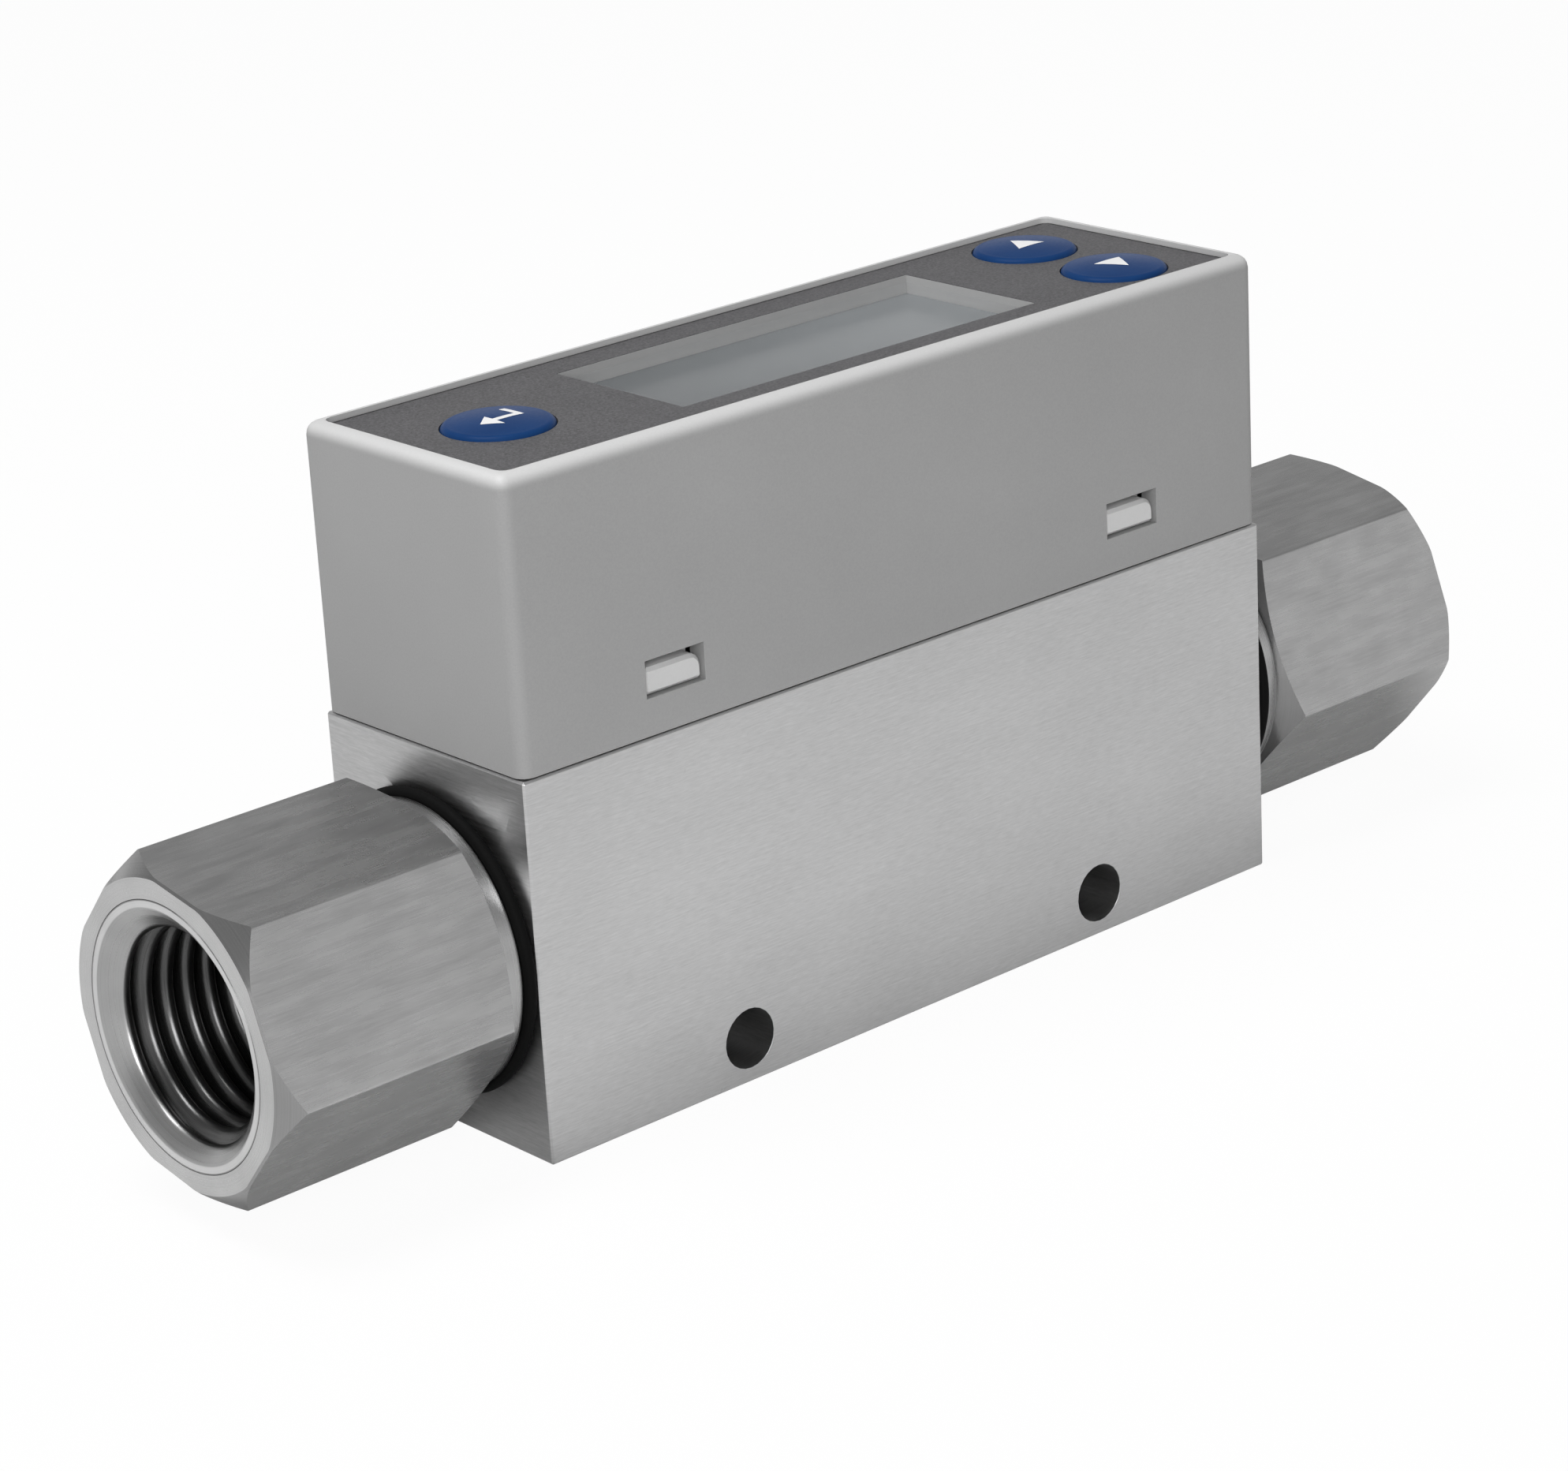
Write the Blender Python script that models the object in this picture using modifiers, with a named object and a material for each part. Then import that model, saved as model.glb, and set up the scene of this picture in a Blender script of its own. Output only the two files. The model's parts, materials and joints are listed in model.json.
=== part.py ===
"""Portable gas mass flow meter: a metal flow block with two hexagonal port fittings and a display head.

Lengths are in metres. X runs with the gas from the inlet to the outlet, Y from the front face to the
back, and Z up. The origin is the middle of the block's underside.
"""

import math

import bmesh
import bpy
from mathutils import Matrix, Vector

MM = 0.001

# Gaps: between pieces that seat on each other, between pieces that slide, and at the parting line
FIT = 0.1 * MM
SLIDE_FIT = 0.15 * MM
SEAM_GAP = 0.1 * MM
OVERSHOOT = 1.0 * MM

# Facets
ROUND_SIDES = 48
CHAMFER_SIDES = 80
SEAL_SIDES = 40
SMALL_SIDES = 24
SCREW_SIDES = 16
SEAL_SECTION_SIDES = 8
DOME_RINGS = 4

# Flow block
BLOCK_LENGTH = 56.0 * MM
BLOCK_WIDTH = 17.0 * MM
BLOCK_HEIGHT = 21.8 * MM
BLOCK_EDGE_BREAK = 0.12 * MM
FLOW_AXIS_HEIGHT = 10.8 * MM
CHANNEL_DIAMETER = 8.0 * MM
MOUNT_HOLE_DIAMETER = 3.5 * MM
MOUNT_HOLE_INSET = 14.25 * MM
MOUNT_HOLE_HEIGHT = 2.6 * MM

# Port fittings, one at each end
HEX_FLATS = 17.0 * MM
HEX_LENGTH = 15.8 * MM
HEX_TURN = math.radians(-10.0)
HEX_FRONT_FACE_DIAMETER = 17.2 * MM
HEX_FRONT_CHAMFER = math.radians(45.0)
HEX_REAR_FACE_DIAMETER = 15.1 * MM
HEX_REAR_CHAMFER = math.radians(30.0)
SEAL_SPACE = 1.4 * MM
SEAL_OUTER_DIAMETER = 17.3 * MM
SPIGOT_DIAMETER = 13.0 * MM
SPIGOT_LENGTH = 8.0 * MM
THREAD_MAJOR_DIAMETER = 13.16 * MM
THREAD_DEPTH = 11.5 * MM
COUNTERSINK_DIAMETER = 14.9 * MM
COUNTERSINK_STEP_DIAMETER = 13.7 * MM
COUNTERSINK_STEP_DEPTH = 0.35 * MM
COUNTERSINK_DEPTH = 0.9 * MM
DRILL_HALF_ANGLE = math.radians(59.0)

# Flow conditioning stack behind each spigot
CONDITIONER_DIAMETER = 10.4 * MM
SCREEN_THICKNESS = 0.4 * MM
SCREEN_HOLE = 1.0 * MM
SCREEN_PITCH = 1.9 * MM
RING_LENGTH = 1.2 * MM
STRAIGHTENER_LENGTH = 3.6 * MM
STRAIGHTENER_CELL = 1.3 * MM
STRAIGHTENER_PITCH = 1.75 * MM
CONDITIONER_RIM = 0.4 * MM

# Sensor in the top of the block
POCKET_LENGTH = 20.0 * MM
POCKET_WIDTH = 10.0 * MM
POCKET_DEPTH = 2.2 * MM
POCKET_CORNER_RADIUS = 1.0 * MM
NOSE_DIAMETER = 5.2 * MM
NOSE_SEAL_DIAMETER = 8.0 * MM
NOSE_SEAL_SECTION = 1.0 * MM
CHIP_SIZE = (2.6 * MM, 1.8 * MM, 0.5 * MM)
SENSOR_BOARD_THICKNESS = 0.8 * MM
CARRIER_SCREW_INSET = 2.3 * MM

# Small screws
SCREW_DIAMETER = 2.0 * MM
SCREW_HEAD_DIAMETER = 3.4 * MM
SCREW_HEAD_HEIGHT = 1.2 * MM
SCREW_BITE = 3.2 * MM
SCREW_SOCKET_DIAMETER = 1.6 * MM
SCREW_SOCKET_DEPTH = 0.7 * MM
CHASSIS_SCREW_INSET = 5.5 * MM

# Cover
COVER_TOP = 38.2 * MM
COVER_WALL = 1.2 * MM
COVER_EDGE_RADIUS = 0.8 * MM
COVER_CAVITY_RADIUS = 0.5 * MM
CLAMP_THICKNESS = 0.9 * MM
CLAMP_WIDTH = 2.2 * MM
DECK_THICKNESS = 0.85 * MM
RIM_WIDTH = 0.85 * MM
LATCH_INSET = 10.65 * MM
LATCH_WINDOW_WIDTH = 4.1 * MM
LATCH_WINDOW_HEIGHT = 2.1 * MM
LATCH_WINDOW_SILL = 2.1 * MM

# Overlay and display window
OVERLAY_SUNK = 0.3 * MM
OVERLAY_THICKNESS = 0.3 * MM
OVERLAY_CORNER_RADIUS = 0.5 * MM
WINDOW_SIDE_INSET = 3.2 * MM
WINDOW_TO_MODE_KEY = 8.3 * MM
WINDOW_TO_ARROW_KEYS = 8.1 * MM
LENS_BORDER = 0.8 * MM
LENS_THICKNESS = 0.4 * MM

# Display below the deck
GLASS_BORDER = 1.3 * MM
GLASS_THICKNESS = 1.6 * MM
BACKLIGHT_THICKNESS = 1.1 * MM
FRAME_WALL = 0.5 * MM

# Keys
KEY_SIDE_INSET = 1.85 * MM
KEY_GAP = 1.3 * MM
KEY_STEP = 0.15 * MM
KEY_DOME = 0.3 * MM
KEY_TRAVEL = 0.3 * MM
KEY_FLANGE_END_LIP = 0.5 * MM
KEY_FLANGE_SIDE_LIP = 0.2 * MM
KEY_FLANGE_THICKNESS = 0.5 * MM
KEY_FLANGE_CORNER_RADIUS = 1.0 * MM
MODE_KEY_INSET = 6.7 * MM
ARROW_KEY_INSET = 6.6 * MM
SWITCH_SIZE = 4.5 * MM
SWITCH_HEIGHT = 1.6 * MM
SWITCH_CORNER_CUT = 0.3 * MM
PLUNGER_DIAMETER = 2.2 * MM
PLUNGER_SINK = 0.6 * MM

# Main board and what it carries
BOARD_THICKNESS = 1.0 * MM
BOARD_SIDE_CLEARANCE = 0.3 * MM
CONTROL_CHIP_SIZE = (7.0 * MM, 7.0 * MM, 1.2 * MM)
CONTROL_CHIP_X = 2.0 * MM
DATA_SOCKET_SIZE = (7.6 * MM, 9.0 * MM, 3.8 * MM)
DATA_SOCKET_INSET = 13.0 * MM
DATA_SOCKET_WALL = 0.4 * MM
DATA_SOCKET_DEPTH = 6.0 * MM
DATA_SOCKET_SUNK = 0.3 * MM
LINK_X = -4.2 * MM
LINK_PINS = 4
LINK_PITCH = 1.8 * MM
LINK_PIN = 0.6 * MM
LINK_BASE_HEIGHT = 2.0 * MM
LINK_BASE_WIDTH = 2.0 * MM

# Chassis under the cover
CHASSIS_THICKNESS = 1.2 * MM
CHASSIS_CLEARANCE = 0.2 * MM
POST_SIZE = 2.2 * MM
ARM_WIDTH = 3.8 * MM
ARM_THICKNESS = 0.9 * MM
HOOK_HEIGHT = 1.5 * MM
HOOK_SUNK = 0.15 * MM
HOOK_CORNER_RADIUS = 0.8 * MM
HOOK_EDGE_BREAK = 0.2 * MM
ARM_ABOVE_HOOK = 0.35 * MM
CELL_RIB_THICKNESS = 1.0 * MM

# Battery cell
CELL_END_INSET = 8.6 * MM
CELL_SIDE_SPACE = 1.8 * MM
CELL_HEADROOM = 2.35 * MM
CELL_ROUNDING = 0.8 * MM
CELL_TO_LINK = 1.6 * MM

# Places worked out from the sizes above
HALF_LENGTH = BLOCK_LENGTH / 2
COVER_BASE = BLOCK_HEIGHT + SEAM_GAP
COVER_CENTRE_Z = (COVER_BASE + COVER_TOP) / 2
OVERLAY_TOP = COVER_TOP - OVERLAY_SUNK
DECK_TOP = OVERLAY_TOP - OVERLAY_THICKNESS - FIT
DECK_BASE = DECK_TOP - DECK_THICKNESS
GLASS_TOP = DECK_BASE - FIT
BACKLIGHT_TOP = GLASS_TOP - GLASS_THICKNESS - FIT
BOARD_TOP = BACKLIGHT_TOP - BACKLIGHT_THICKNESS - FIT
BOARD_BASE = BOARD_TOP - BOARD_THICKNESS
CAVITY_LENGTH = BLOCK_LENGTH - 2 * COVER_WALL
CAVITY_WIDTH = BLOCK_WIDTH - 2 * COVER_WALL
BOARD_LENGTH = CAVITY_LENGTH - 2 * BOARD_SIDE_CLEARANCE
BOARD_WIDTH = CAVITY_WIDTH - 2 * BOARD_SIDE_CLEARANCE
SPIGOT_BORE = SPIGOT_DIAMETER + 2 * FIT
SPIGOT_BORE_DEPTH = SPIGOT_LENGTH + FIT
STACK_LENGTH = SCREEN_THICKNESS + RING_LENGTH + STRAIGHTENER_LENGTH + 3 * FIT
CONDITIONER_BORE = CONDITIONER_DIAMETER + 2 * FIT
CHANNEL_TOP = FLOW_AXIS_HEIGHT + CHANNEL_DIAMETER / 2
POCKET_FLOOR = BLOCK_HEIGHT - POCKET_DEPTH
CARRIER_BASE = POCKET_FLOOR + FIT
CARRIER_TOP = BLOCK_HEIGHT - FIT
SENSOR_BOARD_BASE = CARRIER_TOP + FIT
SENSOR_BOARD_TOP = SENSOR_BOARD_BASE + SENSOR_BOARD_THICKNESS
CHASSIS_BASE = BLOCK_HEIGHT + FIT
CHASSIS_TOP = CHASSIS_BASE + CHASSIS_THICKNESS
CHASSIS_LENGTH = CAVITY_LENGTH - 2 * CHASSIS_CLEARANCE
CHASSIS_WIDTH = CAVITY_WIDTH - 2 * CHASSIS_CLEARANCE
CONTROL_CHIP_BASE = BOARD_BASE - FIT - CONTROL_CHIP_SIZE[2]
CELL_START_X = LINK_X + LINK_BASE_WIDTH / 2 + CELL_TO_LINK
CELL_END_X = HALF_LENGTH - CELL_END_INSET
CELL_WIDTH = CAVITY_WIDTH - 2 * CELL_SIDE_SPACE
CELL_BASE = SENSOR_BOARD_TOP + FIT + SCREW_HEAD_HEIGHT + 2 * FIT
CELL_TOP = CONTROL_CHIP_BASE - CELL_HEADROOM
LATCH_X = HALF_LENGTH - LATCH_INSET
MOUNT_HOLE_X = HALF_LENGTH - MOUNT_HOLE_INSET
CHASSIS_SCREW_X = HALF_LENGTH - CHASSIS_SCREW_INSET
CARRIER_SCREW_X = POCKET_LENGTH / 2 - CARRIER_SCREW_INSET
DATA_SOCKET_X = DATA_SOCKET_INSET - HALF_LENGTH
SCREW_HOLE_DIAMETER = SCREW_DIAMETER + 2 * FIT
SCREW_CLEAR_DIAMETER = SCREW_DIAMETER + 4 * FIT
KEY_DIAMETER = (BLOCK_WIDTH - KEY_GAP) / 2 - KEY_SIDE_INSET
KEY_HOLE_DIAMETER = KEY_DIAMETER + 2 * SLIDE_FIT
MODE_KEY_X = MODE_KEY_INSET - HALF_LENGTH
ARROW_KEY_X = HALF_LENGTH - ARROW_KEY_INSET
ARROW_KEY_Y = (KEY_DIAMETER + KEY_GAP) / 2
WINDOW_SILL_Z = COVER_BASE + LATCH_WINDOW_SILL

KEYS = {
    "mode": (MODE_KEY_X, 0.0),
    "up": (ARROW_KEY_X, ARROW_KEY_Y),
    "down": (ARROW_KEY_X, -ARROW_KEY_Y),
}


def clear_scene():
    for obj in list(bpy.data.objects):
        bpy.data.objects.remove(obj)


def make_collection(name):
    collection = bpy.data.collections.new(name)
    bpy.context.scene.collection.children.link(collection)
    return collection


clear_scene()
METER = make_collection("gas_flow_meter")
TOOLS = make_collection("cutters")


def make_material(name, colour, roughness, metallic=0.0, transmission=0.0):
    material = bpy.data.materials.new(name)
    material.use_nodes = True
    shader = material.node_tree.nodes["Principled BSDF"]
    shader.inputs["Base Color"].default_value = (*colour, 1.0)
    shader.inputs["Roughness"].default_value = roughness
    shader.inputs["Metallic"].default_value = metallic
    shader.inputs["Transmission Weight"].default_value = transmission
    return material


BLOCK_METAL = make_material("block_aluminium", (0.52, 0.52, 0.52), 0.35, 1.0)
FITTING_METAL = make_material("fitting_steel", (0.42, 0.42, 0.42), 0.25, 1.0)
MESH_METAL = make_material("screen_steel", (0.5, 0.5, 0.5), 0.3, 1.0)
SEAL_RUBBER = make_material("seal_rubber", (0.01, 0.01, 0.01), 0.5)
COVER_PLASTIC = make_material("cover_plastic", (0.3, 0.3, 0.3), 0.6)
CHASSIS_PLASTIC = make_material("chassis_plastic", (0.75, 0.75, 0.75), 0.5)
OVERLAY_FILM = make_material("overlay_film", (0.11, 0.11, 0.115), 0.55)
LENS_PLASTIC = make_material("lens_plastic", (0.9, 0.9, 0.9), 0.05, 0.0, 1.0)
GLASS_GREY = make_material("display_glass", (0.19, 0.21, 0.22), 0.15)
LIGHT_GUIDE = make_material("light_guide", (0.8, 0.85, 0.85), 0.3)
FRAME_STEEL = make_material("frame_steel", (0.5, 0.5, 0.5), 0.35, 1.0)
KEY_PLASTIC = make_material("key_plastic", (0.02, 0.06, 0.2), 0.2)
SWITCH_PLASTIC = make_material("switch_plastic", (0.03, 0.03, 0.03), 0.5)
BOARD_GREEN = make_material("board_laminate", (0.02, 0.12, 0.05), 0.4)
CHIP_BLACK = make_material("chip_resin", (0.02, 0.02, 0.02), 0.5)
CARRIER_PLASTIC = make_material("carrier_plastic", (0.05, 0.05, 0.05), 0.4)
CELL_WRAP = make_material("cell_wrap", (0.5, 0.5, 0.53), 0.35)
SCREW_STEEL = make_material("screw_steel", (0.45, 0.45, 0.45), 0.3, 1.0)
CONTACT_METAL = make_material("contact_metal", (0.7, 0.6, 0.3), 0.3, 1.0)


def place(mesh, name, centre, turn, material):
    """Puts a mesh in the meter, or among the cutters where it has no material."""
    obj = bpy.data.objects.new(name, mesh)
    obj.matrix_world = Matrix.Translation(Vector(centre)) @ turn
    if material:
        mesh.materials.append(material)
        METER.objects.link(obj)
    else:
        obj.hide_render = True
        obj.display_type = "WIRE"
        TOOLS.objects.link(obj)
    return obj


def mesh_from(bm, name):
    mesh = bpy.data.meshes.new(name)
    bm.to_mesh(mesh)
    bm.free()
    return mesh


UPRIGHT = Matrix.Identity(4)
ALONG_Y = Matrix.Rotation(math.radians(-90.0), 4, "X")
TOWARDS_INLET = Matrix.Rotation(math.radians(-90.0), 4, "Y")
TOWARDS_OUTLET = Matrix.Rotation(math.radians(90.0), 4, "Y")


def is_upright(edge):
    return abs(edge.verts[0].co.z - edge.verts[1].co.z) > 1e-9


def is_on_top(edge):
    return all(vert.co.z > 0 for vert in edge.verts)


def is_outlet_top(edge):
    return all(vert.co.x > 0 and vert.co.z > 0 for vert in edge.verts)


def box(name, size, centre, material=None, rounding=0.0, segments=2, which=is_upright):
    """A box with the chosen edges rounded."""
    bm = bmesh.new()
    bmesh.ops.create_cube(bm, size=1.0, matrix=Matrix.Diagonal((*size, 1.0)))
    if rounding:
        edges = [edge for edge in bm.edges if which(edge)]
        bmesh.ops.bevel(
            bm, geom=edges, offset=rounding, segments=segments, profile=0.5, affect="EDGES"
        )
    return place(mesh_from(bm, name), name, centre, UPRIGHT, material)


def span_box(name, x, y, z, material=None, **rounding):
    """A box given by its limits along each axis."""
    size = (x[1] - x[0], y[1] - y[0], z[1] - z[0])
    centre = (sum(x) / 2, sum(y) / 2, sum(z) / 2)
    return box(name, size, centre, material, **rounding)


def soften(piece, width):
    """Takes the sharp edges off, and leaves those along a rounding as they are."""
    bevel = piece.modifiers.new("soft_edges", "BEVEL")
    bevel.width = width
    bevel.segments = 1
    bevel.limit_method = "ANGLE"
    bevel.angle_limit = math.radians(40.0)


def widened(span, by):
    return (span[0] - by, span[1] + by)


def cylinder(name, diameter, length, centre, turn=UPRIGHT, material=None, sides=SMALL_SIDES):
    bm = bmesh.new()
    bmesh.ops.create_cone(
        bm,
        cap_ends=True,
        segments=sides,
        radius1=diameter / 2,
        radius2=diameter / 2,
        depth=length,
    )
    return place(mesh_from(bm, name), name, centre, turn, material)


def turned(name, profile, centre, turn=UPRIGHT, material=None, sides=ROUND_SIDES, closed=True):
    """A profile of (radius, height) points, from the top down its outer side, turned about Z."""
    bm = bmesh.new()
    points = [bm.verts.new((radius, 0.0, height)) for radius, height in profile]
    for first, second in zip(points, points[1:]):
        bm.edges.new((first, second))
    if closed:
        bm.edges.new((points[-1], points[0]))
    obj = place(mesh_from(bm, name), name, centre, turn, material)
    screw = obj.modifiers.new("turn", "SCREW")
    screw.steps = sides
    screw.render_steps = sides
    screw.use_merge_vertices = True
    screw.merge_threshold = 1e-7
    screw.use_smooth_shade = False
    return obj


def polygon(diameter, sides, middle=(0.0, 0.0)):
    """The corners of a regular polygon, as a spline's points."""
    angles = [2 * math.pi * k / sides for k in range(sides)]
    radius = diameter / 2
    return [(middle[0] + radius * math.cos(a), middle[1] + radius * math.sin(a)) for a in angles]


def plate(name, outlines, thickness, centre, turn, material):
    """A flat plate from an outline and the holes inside it."""
    curve = bpy.data.curves.new(name, "CURVE")
    curve.dimensions = "2D"
    curve.fill_mode = "BOTH"
    curve.extrude = thickness / 2
    for outline in outlines:
        spline = curve.splines.new("POLY")
        spline.points.add(len(outline) - 1)
        for point, (x, y) in zip(spline.points, outline):
            point.co = (x, y, 0.0, 1.0)
        spline.use_cyclic_u = True
    source = bpy.data.objects.new(name + "_outline", curve)
    bpy.context.scene.collection.objects.link(source)
    graph = bpy.context.evaluated_depsgraph_get()
    mesh = bpy.data.meshes.new_from_object(source.evaluated_get(graph))
    bpy.data.objects.remove(source)
    bm = bmesh.new()
    bm.from_mesh(mesh)
    bpy.data.meshes.remove(mesh)
    bmesh.ops.remove_doubles(bm, verts=bm.verts, dist=1e-7)
    return place(mesh_from(bm, name), name, centre, turn, material)


def combine(piece, other, operation):
    modifier = piece.modifiers.new(other.name, "BOOLEAN")
    modifier.operation = operation
    modifier.object = other


def cut(piece, *cutters):
    for cutter in cutters:
        combine(piece, cutter, "DIFFERENCE")


def fuse(piece, *others):
    for other in others:
        combine(piece, other, "UNION")


def end_face(side):
    """The point where the flow axis leaves the block: side is -1 at the inlet and 1 at the outlet."""
    return (side * HALF_LENGTH, 0.0, FLOW_AXIS_HEIGHT)


def outwards(side):
    return TOWARDS_INLET if side < 0 else TOWARDS_OUTLET


def make_flow_block():
    """The block: stepped port bores, the flow channel, cross holes and the sensor pocket."""
    block = box(
        "flow_block",
        (BLOCK_LENGTH, BLOCK_WIDTH, BLOCK_HEIGHT),
        (0.0, 0.0, BLOCK_HEIGHT / 2),
        BLOCK_METAL,
        rounding=BLOCK_EDGE_BREAK,
        segments=1,
        which=lambda edge: True,
    )
    bore = SPIGOT_BORE / 2
    shelf = CONDITIONER_BORE / 2
    channel = CHANNEL_DIAMETER / 2
    mouth = HALF_LENGTH + OVERSHOOT
    shoulder = HALF_LENGTH - SPIGOT_BORE_DEPTH
    seat = shoulder - STACK_LENGTH
    profile = [
        (0.0, mouth),
        (bore, mouth),
        (bore, shoulder),
        (shelf, shoulder),
        (shelf, seat),
        (channel, seat),
        (channel, -seat),
        (shelf, -seat),
        (shelf, -shoulder),
        (bore, -shoulder),
        (bore, -mouth),
        (0.0, -mouth),
    ]
    axis_point = (0.0, 0.0, FLOW_AXIS_HEIGHT)
    cut(block, turned("flow_bore", profile, axis_point, TOWARDS_OUTLET, closed=False))
    for side in (-1, 1):
        name = "mount_hole_inlet" if side < 0 else "mount_hole_outlet"
        middle = (side * MOUNT_HOLE_X, 0.0, MOUNT_HOLE_HEIGHT)
        through = BLOCK_WIDTH + 2 * OVERSHOOT
        cut(block, cylinder(name, MOUNT_HOLE_DIAMETER, through, middle, ALONG_Y))
    cut(block, sensor_pocket_cutter(), nose_hole_cutter())
    for x in (-CARRIER_SCREW_X, CARRIER_SCREW_X):
        cut(block, tapped_hole("carrier_hole", x, POCKET_FLOOR, carrier_screw_bite()))
    for x in (-CHASSIS_SCREW_X, CHASSIS_SCREW_X):
        cut(block, tapped_hole("chassis_hole", x, BLOCK_HEIGHT, SCREW_BITE))
    return block


def carrier_screw_bite():
    """How far the carrier's screws reach into the block, short of the flow channel."""
    return min(SCREW_BITE, (POCKET_FLOOR - CHANNEL_TOP) - 3 * SCREW_DIAMETER / 4)


def sensor_pocket_cutter():
    return span_box(
        "sensor_pocket",
        (-POCKET_LENGTH / 2, POCKET_LENGTH / 2),
        (-POCKET_WIDTH / 2, POCKET_WIDTH / 2),
        (POCKET_FLOOR, BLOCK_HEIGHT + OVERSHOOT),
        rounding=POCKET_CORNER_RADIUS,
        segments=3,
    )


def nose_hole_cutter():
    """The hole for the sensor's nose, with the seat of its seal in the pocket's floor."""
    hole = NOSE_DIAMETER / 2 + FIT
    seat = NOSE_SEAL_DIAMETER / 2 + FIT
    seat_depth = NOSE_SEAL_SECTION + FIT
    profile = [
        (0.0, POCKET_FLOOR + OVERSHOOT),
        (seat, POCKET_FLOOR + OVERSHOOT),
        (seat, POCKET_FLOOR - seat_depth),
        (hole, POCKET_FLOOR - seat_depth),
        (hole, FLOW_AXIS_HEIGHT),
        (0.0, FLOW_AXIS_HEIGHT),
    ]
    return turned("nose_hole", profile, (0.0, 0.0, 0.0), sides=SMALL_SIDES, closed=False)


def tapped_hole(name, x, surface, bite):
    bottom = surface - bite - FIT
    top = surface + OVERSHOOT
    middle = (x, 0.0, (bottom + top) / 2)
    label = name + ("_inlet_side" if x < 0 else "_outlet_side")
    return cylinder(label, SCREW_HOLE_DIAMETER, top - bottom, middle, sides=SCREW_SIDES)


def make_fitting(name, side):
    """A hexagonal fitting: a threaded socket outside, and a spigot in the block's port."""
    front = SEAL_SPACE + HEX_LENGTH
    spigot = SPIGOT_DIAMETER / 2
    shoulder = (SEAL_OUTER_DIAMETER - 2 * seal_section()) / 2 - FIT
    channel = CHANNEL_DIAMETER / 2
    thread = THREAD_MAJOR_DIAMETER / 2
    thread_end = front - THREAD_DEPTH
    cone_end = thread_end - (thread - channel) / math.tan(DRILL_HALF_ANGLE)
    fitting = turned(
        name,
        [
            (shoulder, SEAL_SPACE + OVERSHOOT),
            (shoulder, FIT),
            (spigot, FIT),
            (spigot, -SPIGOT_LENGTH),
            (0.0, -SPIGOT_LENGTH),
            (0.0, SEAL_SPACE + OVERSHOOT),
        ],
        end_face(side),
        outwards(side),
        FITTING_METAL,
    )
    fuse(fitting, chamfered_hexagon(name + "_hexagon", side))
    socket = turned(
        name + "_socket",
        [
            (0.0, front + OVERSHOOT),
            (COUNTERSINK_DIAMETER / 2, front + OVERSHOOT),
            (COUNTERSINK_DIAMETER / 2, front),
            (COUNTERSINK_STEP_DIAMETER / 2, front - COUNTERSINK_STEP_DEPTH),
            (thread, front - COUNTERSINK_DEPTH),
            (thread, thread_end),
            (channel, cone_end),
            (channel, -SPIGOT_LENGTH - OVERSHOOT),
            (0.0, -SPIGOT_LENGTH - OVERSHOOT),
        ],
        end_face(side),
        outwards(side),
        closed=False,
    )
    cut(fitting, socket)
    return fitting


def chamfered_hexagon(name, side):
    """Hexagon bar with a turned chamfer at each end, the one beside the block the flatter."""
    corner = HEX_FLATS / math.sqrt(3)
    middle_height = SEAL_SPACE + HEX_LENGTH / 2
    bar_middle = Vector(end_face(side)) + Vector((side * middle_height, 0.0, 0.0))
    turn = outwards(side) @ Matrix.Rotation(-side * HEX_TURN, 4, "Z")
    bar = cylinder(name, 2 * corner, HEX_LENGTH, bar_middle, turn, sides=6)
    wide = corner + OVERSHOOT
    top = HEX_LENGTH / 2
    front = HEX_FRONT_FACE_DIAMETER / 2
    rear = HEX_REAR_FACE_DIAMETER / 2
    envelope = turned(
        name + "_chamfers",
        [
            (0.0, top),
            (front, top),
            (wide, top - (wide - front) * math.tan(HEX_FRONT_CHAMFER)),
            (wide, -top + (wide - rear) * math.tan(HEX_REAR_CHAMFER)),
            (rear, -top),
            (0.0, -top),
        ],
        bar_middle,
        outwards(side),
        closed=False,
        sides=CHAMFER_SIDES,
    )
    combine(bar, envelope, "INTERSECT")
    return bar


def seal_section():
    return SEAL_SPACE - 2 * FIT


def make_seal(name, outer_diameter, section, centre, turn, sides):
    """A round-section rubber ring."""
    reach = section / 2
    middle = outer_diameter / 2 - reach
    angles = [-2 * math.pi * k / SEAL_SECTION_SIDES for k in range(SEAL_SECTION_SIDES)]
    profile = [(middle + reach * math.cos(a), reach * math.sin(a)) for a in angles]
    return turned(name, profile, centre, turn, SEAL_RUBBER, sides)


def stack_place(side, start, length):
    """The middle of a piece in the conditioning stack that starts this far behind the spigot."""
    x = HALF_LENGTH - SPIGOT_BORE_DEPTH - start - length / 2
    return (side * x, 0.0, FLOW_AXIS_HEIGHT)


def hole_pattern(hole, pitch, corners, reach):
    """Holes on a triangular grid, as many as fit inside the reach."""
    rows = int(reach / pitch) + 1
    holes = []
    for row in range(-rows, rows + 1):
        for column in range(-rows, rows + 1):
            x = (column + (row % 2) / 2) * pitch
            y = row * pitch * math.sqrt(3) / 2
            if math.hypot(x, y) + hole / 2 < reach:
                holes.append(polygon(hole, corners, (x, y)))
    return holes


def perforated_disc(name, side, start, thickness, hole, pitch, corners, material):
    rim = CONDITIONER_DIAMETER / 2 - CONDITIONER_RIM
    outlines = [polygon(CONDITIONER_DIAMETER, ROUND_SIDES), *hole_pattern(hole, pitch, corners, rim)]
    centre = stack_place(side, start, thickness)
    return plate(name, outlines, thickness, centre, outwards(side), material)


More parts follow.
